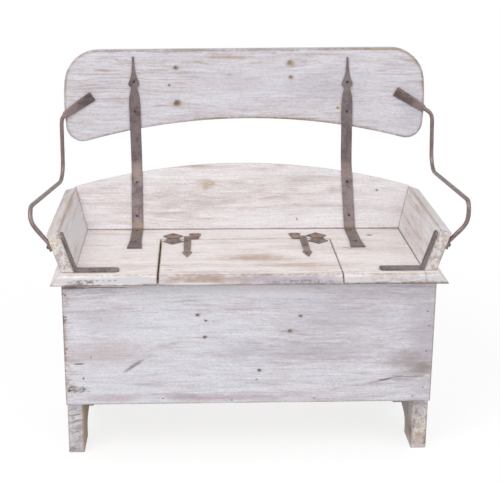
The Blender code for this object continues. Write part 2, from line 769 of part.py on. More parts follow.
def make_panel():
    """The raked panel between the arm boards, with its curved top edge."""
    spread = CHEST_HALF + ARM_HEIGHT
    across = np.linspace(-spread, spread, 25)
    top = [(x, panel_arc_height(x)) for x in across]
    outline = top + [(spread, -PANEL_THICK), (-spread, -PANEL_THICK)]
    panel = add_object("back_panel", plate_mesh("back_panel", outline, PANEL_THICK), WHITEWASH)
    stand(panel, PANEL_BASE - PANEL_NORMAL * PANEL_THICK / 2, (1, 0, 0), PANEL_UP)
    saw(panel, (0, 0, ON_SEAT), (0, 0, -1))
    for _, sign in SIDES:
        saw(panel, arm_base(sign) - arm_out(sign) * GAP, arm_out(sign))
    ease_edges(panel, ARRIS)


def backrest_outline():
    """Front view of the backrest: a hollow lower edge, round lobes, bowed sides, round corners.

    The middle of its top edge is the origin.
    """
    hollow = (0.0, -BACKREST_MID_HEIGHT - BACKREST_HOLLOW_RADIUS)
    bow = (BACKREST_WIDTH / 2 - BACKREST_SIDE_RADIUS, -BACKREST_WAIST_BELOW_TOP)
    lobe = circle_crossing(hollow, BACKREST_HOLLOW_RADIUS + BACKREST_LOW_RADIUS,
                           bow, BACKREST_SIDE_RADIUS - BACKREST_LOW_RADIUS)
    shoulder_z = -BACKREST_TOP_RADIUS
    reach = BACKREST_SIDE_RADIUS - BACKREST_TOP_RADIUS
    shoulder = (bow[0] + math.sqrt(reach ** 2 - (shoulder_z - bow[1]) ** 2), shoulder_z)
    under = direction_angle(hollow, lobe)
    low = direction_angle(bow, lobe)
    high = direction_angle(bow, shoulder)
    edge = arc_points(hollow, BACKREST_HOLLOW_RADIUS, math.pi / 2, under, 12)
    edge += arc_points(lobe, BACKREST_LOW_RADIUS, under - math.pi, low, 8)[1:]
    edge += arc_points(bow, BACKREST_SIDE_RADIUS, low, high, 4)[1:]
    edge += arc_points(shoulder, BACKREST_TOP_RADIUS, high, math.pi / 2, 8)[1:]
    return mirrored_outline(edge)


def make_backrest():
    """The shaped upper board, carried by the straps."""
    mesh = plate_mesh("backrest_board", backrest_outline(), BACKREST_THICK)
    backrest = add_object("backrest_board", mesh, WHITEWASH)
    place = (BACKREST_SHIFT, BACKREST_DEPTH + BACKREST_THICK / 2, BACKREST_TOP)
    rising = (math.cos(BACKREST_TILT), 0, math.sin(BACKREST_TILT))
    stand(backrest, place, rising, (-rising[2], 0, rising[0]))
    ease_edges(backrest, ROUGH_ARRIS)


# Forged iron

def strap_path(x):
    """Centre line of a back strap: along the seat, up the panel and up the backrest."""
    half = STRAP_THICK / 2
    on_seat = ON_SEAT + half
    before_board = BACKREST_DEPTH - GAP - half
    on_panel = PANEL_BASE + PANEL_NORMAL * (GAP + half)
    slope = (PANEL_UP.y, PANEL_UP.z)
    heel = corner_point((0.0, on_seat), (1.0, 0.0), (on_panel.y, on_panel.z), slope)
    knee = corner_point((before_board, 0.0), (0.0, 1.0), (on_panel.y, on_panel.z), slope)
    toe = (heel[0] - STRAP_FOOT_LENGTH, on_seat)
    tip = (before_board, BACKREST_TOP - STRAP_TIP_BELOW_TOP)
    lean = STRAP_LEAN / (tip[1] - on_seat)
    corners = [(x - lean * (z - on_seat), y, z) for y, z in (toe, heel, knee, tip)]
    return filleted_path(corners, (STRAP_HEEL_RADIUS, STRAP_KNEE_RADIUS))


def make_strap(side, sign):
    """One strap with a spear point above and a flared foot on the seat."""
    path = strap_path(sign * STRAP_SPACING / 2)
    length = path_lengths(path)[-1]
    spear = [length - SPEAR_LENGTH * share for share in SPEAR_REACH_SHARES]
    points, along = resample(path, [STRAP_FOOT_FLARE] + spear)
    places = [0.0, STRAP_FOOT_FLARE] + spear[::-1]
    widths = [STRAP_FOOT_WIDTH, STRAP_WIDTH] + [STRAP_WIDTH * s for s in SPEAR_WIDTH_SHARES[::-1]]
    rings = flat_bar_rings(points, (1, 0, 0), np.interp(along, places, widths), STRAP_THICK)
    strap = add_object("back_strap_" + side, loft_mesh("back_strap_" + side, rings), IRON)
    round_shading(strap)


def rod_corners(sign):
    """Corners of an arm rod's centre line, from its palm to the end of its lap.

    The two rods are bent by hand, so the right one runs higher than the left one.
    """
    half_board = BACKREST_WIDTH / 2
    line_depth = BACKREST_DEPTH - GAP - ROD_RADIUS
    palm = Vector((sign * (half_board - PALM_INSET) + BACKREST_SHIFT, line_depth,
                   BACKREST_TOP - PALM_BELOW_TOP + sign * PALM_UNEVEN))
    drop_x = sign * (half_board + ROD_SIDE_CLEAR) + ROD_SHIFT
    fall = abs(drop_x - palm.x) * math.tan(PALM_SLOPE - sign * PALM_SLOPE_UNEVEN)
    shoulder = Vector((drop_x, line_depth, palm.z - fall))
    hip_x = sign * (half_board + ROD_SIDE_CLEAR + ROD_HIP_OUTSET) + ROD_HIP_SHIFT
    hip = Vector((hip_x, line_depth, SEAT_TOP + ROD_HIP_ABOVE_SEAT + sign * ROD_HIP_UNEVEN))
    lap_depth = ARM_FRONT_DEPTH + LAP_FRONT_INSET
    arm_edge = arm_base(sign) + arm_up(sign) * ARM_HEIGHT + arm_out(sign) * ARM_THICK
    elbow = Vector((arm_edge.x + sign * ROD_ELBOW_CLEAR,
                    ROD_ELBOW_DEPTH - sign * ROD_ELBOW_DEPTH_UNEVEN,
                    SEAT_TOP + ROD_ELBOW_ABOVE_SEAT + sign * ROD_ELBOW_UNEVEN))
    bow = Vector((elbow.x - sign * ROD_BOW_INSET, (elbow.y + lap_depth) / 2,
                  SEAT_TOP + ROD_BOW_ABOVE_SEAT))
    lap_offset = arm_out(sign) * (ARM_THICK + GAP + LAP_THICK / 2)
    top = arm_base(sign) + lap_offset + Vector((0.0, lap_depth, 0.0))
    ankle = top + arm_up(sign) * (ARM_HEIGHT - LAP_BELOW_ARM_TOP)
    toe = ankle - arm_up(sign) * LAP_LENGTH
    return palm, shoulder, hip, elbow, bow, ankle, toe


def make_rod(side, sign, arm):
    """One arm rod: a flat palm on the backrest, a round rod, and a flat lap on the arm board."""
    corners = rod_corners(sign)
    path = filleted_path(corners, ROD_BENDS)
    length = path_lengths(path)[-1]
    palm_places = [PALM_LENGTH * share for share in PALM_REACH_SHARES]
    lap_places = [length - LAP_LENGTH * share for share in LAP_REACH_SHARES]
    points, along = resample(path, palm_places + lap_places)
    roundness = np.interp(along, palm_places, PALM_ROUND_SHARES)
    lap_flatness = np.interp(along, lap_places[::-1], LAP_FLAT_SHARES[::-1])
    palm_extra = (PALM_WIDTH / 2 - ROD_RADIUS) * np.interp(along, palm_places, PALM_WIDTH_SHARES)
    palm_thin = (ROD_RADIUS - PALM_THICK / 2) * (1.0 - roundness)
    half_widths = ROD_RADIUS + palm_extra - (ROD_RADIUS - LAP_THICK / 2) * lap_flatness
    half_thicks = ROD_RADIUS - palm_thin + (LAP_WIDTH / 2 - ROD_RADIUS) * lap_flatness
    squareness = np.maximum(1.0 - roundness, lap_flatness)
    tangents, normals, _ = path_frames(points, (0, -1, 0))
    settled = np.interp(along, [PALM_LENGTH, lap_places[-1]], [0.0, 1.0])
    normals, sides = untwisted(tangents, normals, (0, -1, 0), settled)
    centres = points - normals * palm_thin[:, None]
    rings = forged_rings(centres, normals, sides, half_widths, half_thicks, squareness)
    rod = add_object("arm_rod_" + side, loft_mesh("arm_rod_" + side, rings), IRON)
    round_shading(rod)
    ankle = corners[-2]
    spot = ankle - arm_up(sign) * LAP_LENGTH * COACH_PLACE_SHARE + arm_out(sign) * LAP_THICK / 2
    make_coach_screw(side, spot, arm_out(sign), (rod, arm))


def make_corner_strap(side, sign):
    """An angle iron on the seat and up an arm board's inner face."""
    half = CORNER_THICK / 2
    depth = ARM_FRONT_DEPTH + CORNER_FRONT_INSET + CORNER_WIDTH / 2
    inner = arm_base(sign) - arm_out(sign) * (GAP + half)
    flat = corner_point((0.0, ON_SEAT + half), (1.0, 0.0), (inner.x, inner.z),
                        (arm_up(sign).x, arm_up(sign).z))
    heel = Vector((flat[0], depth, flat[1]))
    toe = heel - Vector((sign * CORNER_SEAT_LEG, 0.0, 0.0))
    head = heel + arm_up(sign) * CORNER_ARM_LEG
    path = filleted_path((toe, heel, head), (CORNER_BEND_RADIUS,), CORNER_BEND_STEP)
    length = path_lengths(path)[-1]
    near = [CORNER_END_ROUND * share for share in CORNER_END_SHARES]
    far = [length - place for place in near[::-1]]
    points, along = resample(path, near + far)
    widths = [CORNER_WIDTH * share for share in CORNER_END_WIDTH_SHARES]
    rings = flat_bar_rings(points, (0, 1, 0), np.interp(along, near + far, widths + widths[::-1]),
                           CORNER_THICK)
    strap = add_object("corner_strap_" + side, loft_mesh("corner_strap_" + side, rings), IRON)
    round_shading(strap)


# Hinges

def knuckle_mesh(name, length):
    """A rolled knuckle centred on the hinge line, bored for the pin."""
    outer = arc_points((0.0, 0.0), BARREL_RADIUS, 0.0, 2 * math.pi, BARREL_SIDES)[:-1]
    bore = arc_points((0.0, 0.0), PIN_RADIUS + PIN_FIT, 0.0, 2 * math.pi, BARREL_SIDES)[:-1]
    return plate_mesh(name, outer, length, [bore])


def hinge_leaf(name, x, sign_y, outline, spans, mat):
    """A leaf cut from plate with its rolled knuckles: outline is (across, away from the pin)."""
    leaf = add_object(name, plate_mesh(name, [(u, sign_y * v) for u, v in outline], LEAF_THICK), mat)
    leaf.location = (x, HINGE_LINE_DEPTH, ON_SEAT + LEAF_THICK / 2)
    round_shading(leaf)
    for number, (start, end) in enumerate(spans):
        knuckle_name = name + "_knuckle_" + str(number)
        knuckle = add_tool(knuckle_name, knuckle_mesh(knuckle_name, end - start))
        middle = (x + (start + end) / 2, HINGE_LINE_DEPTH, HINGE_AXIS_HEIGHT)
        stand(knuckle, middle, (0, 1, 0), (0, 0, 1))
        round_shading(knuckle)
        fuse(leaf, knuckle)
    return leaf


def make_pin(name, x, span):
    """The pin through a hinge's knuckles."""
    half = (span[1] - span[0]) / 2 + PIN_PROUD
    nose = PIN_RADIUS * PIN_NOSE_SHARE
    profile = [(0.0, half), (nose, half), (PIN_RADIUS, half - nose / 2),
               (PIN_RADIUS, nose / 2 - half), (nose, -half), (0.0, -half)]
    pin = add_object(name, lathe_mesh(name, profile, BARREL_SIDES), SCREW_IRON)
    middle = (x + (span[0] + span[1]) / 2, HINGE_LINE_DEPTH, HINGE_AXIS_HEIGHT)
    pin.matrix_basis = aimed(middle, (1, 0, 0))
    round_shading(pin)
    return pin


def butterfly_outline(tongues):
    """Outline of a butterfly leaf, with a tongue at each of its own knuckles."""
    half = BUTTERFLY_WIDTH / 2
    side = BUTTERFLY_BARREL / 2 - TONGUE_INSET
    edge = BARREL_RADIUS + LEAF_BACKOFF
    right = [(half * across, edge + (BUTTERFLY_REACH - edge) * away)
             for across, away in zip(BUTTERFLY_WIDTH_SHARES, BUTTERFLY_REACH_SHARES)]
    left = [(-u, v) for u, v in reversed(right[:-1])]
    root = []
    for start, end in tongues:
        near, far = start + TONGUE_INSET, end - TONGUE_INSET
        root += [(near, edge), (near, KNUCKLE_ROOT), (far, KNUCKLE_ROOT), (far, edge)]
    root = [(u, v) for u, v in root if v < edge or abs(u) < side - WELD]
    if root[0][1] >= edge:
        root = [(-side, edge)] + root + [(side, edge)]
    return right + left + root


def make_butterfly(side, sign):
    """One butterfly hinge: a leaf on the rail, a leaf on the lid, and the pin."""
    x = sign * BUTTERFLY_PLACE
    half = BUTTERFLY_BARREL / 2
    third = BUTTERFLY_BARREL / 6
    middle = (-third + KNUCKLE_GAP / 2, third - KNUCKLE_GAP / 2)
    outer = ((-half, -third - KNUCKLE_GAP / 2), (third + KNUCKLE_GAP / 2, half))
    hinge_leaf("butterfly_rail_leaf_" + side, x, 1, butterfly_outline(outer), outer, IRON)
    make_pin("butterfly_pin_" + side, x, (-half, half))
    return hinge_leaf("butterfly_lid_leaf_" + side, x, -1, butterfly_outline((middle,)), (middle,), IRON)


def make_arrow_hinge(side, sign):
    """One arrow hinge: a dovetail plate on the rail, an arrow strap on the lid, and the pin."""
    middle = (DOVETAIL_PLACE + ARROW_PLACE) / 2
    plate_x, strap_x = DOVETAIL_PLACE - middle, ARROW_PLACE - middle
    waist, neck = DOVETAIL_WAIST / 2, ARROW_NECK_WIDTH / 2
    plate_span = (plate_x - waist, -KNUCKLE_GAP / 2)
    strap_span = (KNUCKLE_GAP / 2, strap_x + neck)
    edge = BARREL_RADIUS + LEAF_BACKOFF
    wide = DOVETAIL_WIDTH / 2
    near, far = plate_span[0] + TONGUE_INSET, plate_span[1] - TONGUE_INSET
    dovetail = [(near, KNUCKLE_ROOT), (far, KNUCKLE_ROOT), (far, edge),
                (plate_x + wide, DOVETAIL_REACH - DOVETAIL_CLIP),
                (plate_x + wide - DOVETAIL_CLIP, DOVETAIL_REACH),
                (plate_x - wide + DOVETAIL_CLIP, DOVETAIL_REACH),
                (plate_x - wide, DOVETAIL_REACH - DOVETAIL_CLIP), (near, edge)]
    near, far = strap_span[0] + TONGUE_INSET, strap_span[1] - TONGUE_INSET
    barb = ARROW_REACH - ARROW_HEAD_LENGTH
    shank, head = ARROW_WIDTH / 2, ARROW_HEAD_WIDTH / 2
    arrow = [(near, KNUCKLE_ROOT), (far, KNUCKLE_ROOT), (far, edge), (strap_x + shank, 2 * edge),
             (strap_x + neck, barb), (strap_x + head, barb + ARROW_BARB_SLOPE), (strap_x, ARROW_REACH),
             (strap_x - head, barb + ARROW_BARB_SLOPE), (strap_x - neck, barb),
             (strap_x - shank, 2 * edge), (near, edge)]
    if sign < 0:
        dovetail = [(-u, v) for u, v in dovetail]
        arrow = [(-u, v) for u, v in arrow]
        plate_span = (-plate_span[1], -plate_span[0])
        strap_span = (-strap_span[1], -strap_span[0])
    x = sign * middle
    hinge_leaf("arrow_rail_plate_" + side, x, 1, dovetail, (plate_span,), RUSTY_IRON)
    span = (min(plate_span[0], strap_span[0]), max(plate_span[1], strap_span[1]))
    make_pin("arrow_pin_" + side, x, span)
    return hinge_leaf("arrow_lid_strap_" + side, x, -1, arrow, (strap_span,), IRON)


# Putting the bench together

def hang_on_empties(lid_pieces):
    """Put the origin under the bench's middle, and the lid's pieces on the hinge line."""
    root = bpy.data.objects.new("bench_origin", None)
    axis = bpy.data.objects.new("lid_hinge_axis", None)
    for empty in (root, axis):
        bpy.context.scene.collection.objects.link(empty)
    root.location = (0, -DEPTH_MIDDLE, 0)
    axis.parent = root
    axis.location = (0, HINGE_LINE_DEPTH, HINGE_AXIS_HEIGHT)
    for obj in list(PARTS.objects) + list(TOOLS.objects):
        if obj in lid_pieces:
            obj.parent = axis
            obj.matrix_basis = Matrix.Translation(-axis.location) @ obj.matrix_basis
        else:
            obj.parent = root


def build():
    """Make every piece of the bench."""
    make_chest()
    make_feet()
    make_seat()
    make_panel()
    make_backrest()
    arms = make_arms()
    lid_pieces = make_lid()
    for side, sign in SIDES:
        make_strap(side, sign)
        make_rod(side, sign, arms[side])
        make_corner_strap(side, sign)
        lid_pieces.append(make_butterfly(side, sign))
        lid_pieces.append(make_arrow_hinge(side, sign))
    hang_on_empties(lid_pieces)


build()
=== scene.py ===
"""Looks of the whitewashed storage bench with its forged iron straps and rods.

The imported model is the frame: metres, +Z up, the front faces -Y, the origin on the floor under
the middle of the bench. Its boards and irons keep their shapes and get worn, painted and forged
finishes. The small screws and nails are made here, and so are finer arm rods, which replace the
model's. Every piece rides on the body that carries it. Left and right are those of someone who
looks at the front.
"""
import json
import logging
import math
from dataclasses import dataclass, field
from enum import Enum

import bmesh
import bpy
import numpy as np
from mathutils import Euler, Matrix, Vector

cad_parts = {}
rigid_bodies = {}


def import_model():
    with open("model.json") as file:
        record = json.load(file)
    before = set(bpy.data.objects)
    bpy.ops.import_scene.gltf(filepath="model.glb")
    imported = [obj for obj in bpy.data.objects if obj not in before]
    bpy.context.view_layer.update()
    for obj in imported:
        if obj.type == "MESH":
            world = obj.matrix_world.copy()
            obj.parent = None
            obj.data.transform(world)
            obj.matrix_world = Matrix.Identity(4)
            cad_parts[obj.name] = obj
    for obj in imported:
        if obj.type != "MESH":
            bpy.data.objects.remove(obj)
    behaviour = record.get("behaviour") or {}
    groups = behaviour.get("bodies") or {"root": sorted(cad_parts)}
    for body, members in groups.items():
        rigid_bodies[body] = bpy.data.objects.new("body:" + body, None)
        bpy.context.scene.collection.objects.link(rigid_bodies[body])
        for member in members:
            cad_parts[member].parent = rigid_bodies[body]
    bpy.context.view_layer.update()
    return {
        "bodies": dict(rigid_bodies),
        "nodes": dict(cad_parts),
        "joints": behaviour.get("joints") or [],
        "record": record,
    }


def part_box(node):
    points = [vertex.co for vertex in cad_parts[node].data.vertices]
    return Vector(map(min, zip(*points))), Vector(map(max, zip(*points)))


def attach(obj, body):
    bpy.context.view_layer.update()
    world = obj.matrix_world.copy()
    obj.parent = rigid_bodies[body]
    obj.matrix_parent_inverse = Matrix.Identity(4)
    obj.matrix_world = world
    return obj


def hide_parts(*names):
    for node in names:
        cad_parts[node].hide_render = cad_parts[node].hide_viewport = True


LOG = logging.getLogger("storage_bench")

Triple = tuple[float, float, float]
Socket = bpy.types.NodeSocket

BENCH = "bench"
LID = "lid"
SIDES = (("left", -1), ("right", 1))
MM_IN_A_METRE = 1000.0
FORWARD = Vector((0.0, -1.0, 0.0))
UP = Vector((0.0, 0.0, 1.0))

# As in the part's source: the lean of the panel and of the arm boards, and the straps' distance
# from the middle
PANEL_RAKE = math.radians(29.6)
ARM_SPLAY = math.radians(18.2)
STRAP_OFFSET = 0.270

# Corners of the rods' centre lines, as in the part's source, with the lower bows a little fuller
ROD_CORNERS = {
    "left": ((-0.3807, 0.2202, 0.7769), (-0.4607, 0.2202, 0.7237), (-0.4616, 0.2202, 0.5626),
             (-0.4933, -0.1675, 0.5929), (-0.4935, -0.1850, 0.5620), (-0.4517, -0.2005, 0.5165),
             (-0.4461, -0.2005, 0.4994)),
    "right": ((0.3883, 0.2202, 0.7897), (0.4851, 0.2202, 0.7329), (0.4896, 0.2202, 0.5860),
              (0.4933, -0.2015, 0.6103), (0.4935, -0.2010, 0.5600), (0.4517, -0.2005, 0.5165),
              (0.4461, -0.2005, 0.4994)),
}


class Grain(Enum):
    """The way a board's fibres run, with the turn that brings them to the pattern's x axis."""

    ACROSS = (0.0, 0.0, 0.0)
    FRONT_TO_BACK = (0.0, 0.0, math.pi / 2)
    FRONT_TO_BACK_ON_EDGE = (math.pi / 2, 0.0, math.pi / 2)
    ACROSS_ON_EDGE = (math.pi / 2, 0.0, 0.0)


class Mark(Enum):
    """What can be seen on one place of a board: its colour, its softness and its depth."""

    KNOT = ((0.200, 0.155, 0.135), 0.55, -0.5)
    KNOT_HALO = ((0.520, 0.425, 0.340), 0.95, 0.0)
    # Dark flecks, knots' hearts and dirt; also painted shadow under the seat's lip, along the chest's top
    # below the seat and on the feet's tops below the chest.
    DARK_SPOT_AND_PAINTED_SHADOW = ((0.165, 0.120, 0.110), 0.60, -0.6)
    STAIN = ((0.530, 0.405, 0.325), 1.00, 0.0)
    GREY_STAIN = ((0.330, 0.285, 0.265), 1.00, 0.0)
    BROWN_STREAK = ((0.410, 0.295, 0.225), 0.95, 0.0)
    BARE_WOOD = ((0.470, 0.350, 0.250), 0.80, -0.2)
    CREAM = ((0.760, 0.690, 0.540), 0.90, 0.0)
    SCRAPE = ((0.320, 0.300, 0.310), 0.70, -0.8)
    CRACK = ((0.220, 0.190, 0.175), 0.50, -1.0)
    # Thick paint; also painted light on the chest's front, a paler band under the seat's overhang where
    # shade falls.
    THICK_PAINT_AND_PAINTED_LIGHT = ((0.780, 0.765, 0.780), 0.80, 0.3)
    MAUVE = ((0.420, 0.365, 0.415), 1.00, 0.0)
    ROSE_WASH = ((0.500, 0.410, 0.410), 1.00, 0.0)
    COOL_PAINT = ((0.600, 0.580, 0.605), 0.60, 0.0)
    DASHES = ((0.300, 0.270, 0.270), 0.55, -0.5)
    RUST = ((0.450, 0.235, 0.105), 0.95, 0.0)
    TAN_RUST = ((0.330, 0.250, 0.190), 1.00, 0.0)
    DARK_SCALE = ((0.090, 0.066, 0.068), 0.90, 0.0)


@dataclass(frozen=True)
class Spot:
    """One mark on a board or an iron.

    Attributes:
        kind: what it is.
        at: its middle, in metres in the frame.
        size: its half sizes along x, y and z, in metres.
        strength: how strongly it covers what is under it, from 0 to 1.
        turn: its turn about x, y and z, in degrees.
        broken: whether it is broken up into flakes.
    """

    kind: Mark
    at: Triple
    size: Triple
    strength: float
    turn: Triple = (0.0, 0.0, 0.0)
    broken: bool = False


@dataclass(frozen=True)
class Marker:
    """Makes marks from rows of millimetres.

    Attributes:
        origin: the point that their places are counted from, in metres.
        deep: how far the marks on an upright face reach into it, in millimetres.
    """

    origin: Triple = (0.0, 0.0, 0.0)
    deep: float = 30.0

    def at(self, kind: Mark, *rows: tuple, broken: bool = False) -> tuple[Spot, ...]:
        """Marks of one kind, anywhere.

        Args:
            kind: what they are.
            rows: each mark's x, y and z, its three half sizes, its strength and, for a turned one,
                its turn.
            broken: whether they are broken up into flakes.

        Returns:
            The marks.
        """
        marks = []
        for x, y, z, wide, deep, tall, strength, *turn in rows:
            place = tuple(start + way / MM_IN_A_METRE for start, way in zip(self.origin, (x, y, z)))
            size = tuple(half / MM_IN_A_METRE for half in (wide, deep, tall))
            marks.append(Spot(kind, place, size, strength, *turn, broken=broken))
        return tuple(marks)

    def upright(self, kind: Mark, *rows: tuple[float, ...], broken: bool = False) -> tuple[Spot, ...]:
        """Marks of one kind on an upright face.

        Args:
            kind: what they are.
            rows: each mark's x and z, its half width and half height, its strength and, for a
                leaning one, its lean in degrees.
            broken: whether they are broken up into flakes.

        Returns:
            The marks.
        """
        full = [(x, 0.0, z, wide, self.deep, tall, strength, (0.0, *(lean or [0.0]), 0.0))
                for x, z, wide, tall, strength, *lean in rows]
        return self.at(kind, *full, broken=broken)

    def knots(self, *places: tuple[float, float, float, float]) -> tuple[Spot, ...]:
        """Knots on an upright face: a pale ring, a brown core and a dark heart.

        A knot leans by 0.7 degrees for each millimetre of its x, counted round within 50 degrees.

        Args:
            places: each knot's x, z, radius and strength.

        Returns:
            The marks.
        """
        marks = ()
        for x, z, radius, strength in places:
            lean = (x * 0.7) % 50.0 - 25.0
            ring = (x, z, radius * 2.6, radius * 1.9, 0.55 * strength, lean)
            core = (x, z, radius * 1.45, radius * 1.15, 0.75 * strength, lean)
            heart = (x - 0.3 * radius, z + 0.2 * radius, radius * 0.95, radius * 0.80, 0.95 * strength, lean)
            marks += (*self.upright(Mark.KNOT_HALO, ring), *self.upright(Mark.KNOT, core),
                      *self.upright(Mark.DARK_SPOT_AND_PAINTED_SHADOW, heart))
        return marks


class Pen:
    """A short way to draw a shader's nodes."""

    def __init__(self, tree: bpy.types.NodeTree) -> None:
        """Take a node tree to draw in."""
        self.tree = tree

    def node(self, kind: str, feeds: dict[str | int, object] | None = None,
             **settings: object) -> bpy.types.Node:
        """Add a node.

        Args:
            kind: the node's type name without its ShaderNode prefix.
            feeds: what goes into its inputs, by their names or numbers.
            settings: the node's own properties.

        Returns:
            The new node.
        """
        made = self.tree.nodes.new("ShaderNode" + kind)
        for name, value in settings.items():
            setattr(made, name, value)
        self.feed(made.inputs, feeds or {})
        return made

    def feed(self, inputs: bpy.types.NodeInputs, feeds: dict[str | int, object]) -> None:
        """Put links and constants into inputs.

        Args:
            inputs: a node's inputs.
            feeds: for an input's name or number, another node's output, a number, a vector or a colour.
        """
        for name, value in feeds.items():
            if isinstance(value, bpy.types.NodeSocket):
                self.tree.links.new(value, inputs[name])
            elif inputs[name].type == "RGBA":
                inputs[name].default_value = (*value, 1.0)
            else:
                inputs[name].default_value = value

    def math(self, operation: str, *values: object) -> Socket:
        """A Math node's result on up to three values."""
        return self.node("Math", dict(enumerate(values)), operation=operation).outputs[0]

    def times(self, one: object, other: object) -> Socket:
        """The product of two values."""
        return self.math("MULTIPLY", one, other)

    def vector(self, operation: str, *values: object) -> Socket:
        """A Vector Math node's result on two vectors, or on one."""
        result = "Value" if operation in ("LENGTH", "DOT_PRODUCT") else "Vector"
        return self.node("VectorMath", dict(enumerate(values)), operation=operation).outputs[result]

    def noise(self, vector: object, scales: Triple, detail: float = 2.0, rough: float = 0.5) -> Socket:
        """Cloudy noise from 0 to 1, stretched by its scales.

        Args:
            vector: where it is read.
            scales: waves a metre along each axis.
            detail: how many finer layers it has.
            rough: how strong the finer layers are.

        Returns:
            The noise's value.
        """
        feeds = {"Vector": self.vector("MULTIPLY", vector, scales), "Scale": 1.0, "Detail": detail,
                 "Roughness": rough}
        return self.node("TexNoise", feeds, noise_dimensions="3D").outputs[0]

    def ramp(self, value: object, low: float, high: float, to_low: float = 0.0,
             to_high: float = 1.0) -> Socket:
        """A smooth step of a value between two limits."""
        feeds = dict(enumerate((value, low, high, to_low, to_high)))
        return self.node("MapRange", feeds, interpolation_type="SMOOTHSTEP").outputs[0]

    def blend(self, share: object, under: object, over: object, kind: str = "MIX") -> Socket:
        """One colour laid over another by a share from 0 to 1."""
        feeds = {0: share, 6: under, 7: over}
        return self.node("Mix", feeds, data_type="RGBA", blend_type=kind).outputs[2]

    def sum_of(self, *parts: tuple[object, float]) -> Socket:
        """Values added up, each with its own weight.

        Args:
            parts: the values and their weights.

        Returns:
            The sum.
        """
        (first, share), *others = parts
        total = self.times(first, share)
        for value, weight in others:
            total = self.math("MULTIPLY_ADD", value, weight, total)
        return total

    def edge_wear(self, radius: float, low: float, high: float) -> Socket:
        """How close a point is to an arris: the bevelled normal leaves the true one there.

        Args:
            radius: the bevel's radius, in metres.
            low: one less the normals' dot product, where the wear starts.
            high: the same, where it is full.

        Returns:
            The wear, from 0 to 1.
        """
        soft = self.node("Bevel", {"Radius": radius}, samples=6).outputs[0]
        true = self.node("NewGeometry").outputs["Normal"]
        return self.ramp(self.math("SUBTRACT", 1.0, self.vector("DOT_PRODUCT", soft, true)), low, high)

    def lay(self, spots: tuple[Spot, ...], place: Socket, colour: Socket,
            height: Socket) -> tuple[Socket, Socket]:
        """Lay marks over a colour and a height.

        Each mark is an ellipsoid whose distance is shaken by noise, so its rim is uneven. The two
        noises have a mean of 0.45 each, and the sum of the means is taken off again.

        Args:
            spots: the marks.
            place: Object coordinates.
            colour: the colour so far.
            height: the height so far.

        Returns:
            The new colour and height.
        """
        if not spots:
            return colour, height
        noises = self.sum_of((self.noise(place, (60.0, 60.0, 160.0), 3.0, 0.6), 0.9),
                             (self.noise(place, (9.0, 9.0, 40.0), 2.0), 0.9))
        shake = self.math("SUBTRACT", noises, 0.9)
        flakes = self.ramp(self.noise(place, (110.0, 110.0, 210.0), 4.0, 0.7), 0.45, 0.57)
        for spot in spots:
            tint, softness, depth = spot.kind.value
            feeds = {"Vector": place, "Location": spot.at, "Scale": spot.size,
                     "Rotation": [math.radians(angle) for angle in spot.turn]}
            turned = self.node("Mapping", feeds, vector_type="TEXTURE").outputs[0]
            reach = self.math("ADD", self.vector("LENGTH", turned), shake)
            mask = self.ramp(reach, 1.0, 1.0 - softness, 0.0, spot.strength)
            if spot.broken:
                mask = self.times(mask, flakes)
            colour = self.blend(mask, colour, tint)
            if depth:
                height = self.math("MULTIPLY_ADD", mask, depth, height)
        return colour, height

    def shade(self, feeds: dict[str, object], bump: dict[str, object]) -> None:
        """Feed the Principled shader, with a bump of its own."""
        normal = self.node("Bump", bump).outputs[0]
        self.feed(self.tree.nodes["Principled BSDF"].inputs, {**feeds, "Normal": normal})


def blank(name: str) -> tuple[bpy.types.Material, Pen]:
    """Make a material of nodes.

    Args:
        name: its name.

    Returns:
        The material and a pen for its nodes.
    """
    mat = bpy.data.materials.new(name)
    mat.use_nodes = True
    return mat, Pen(mat.node_tree)


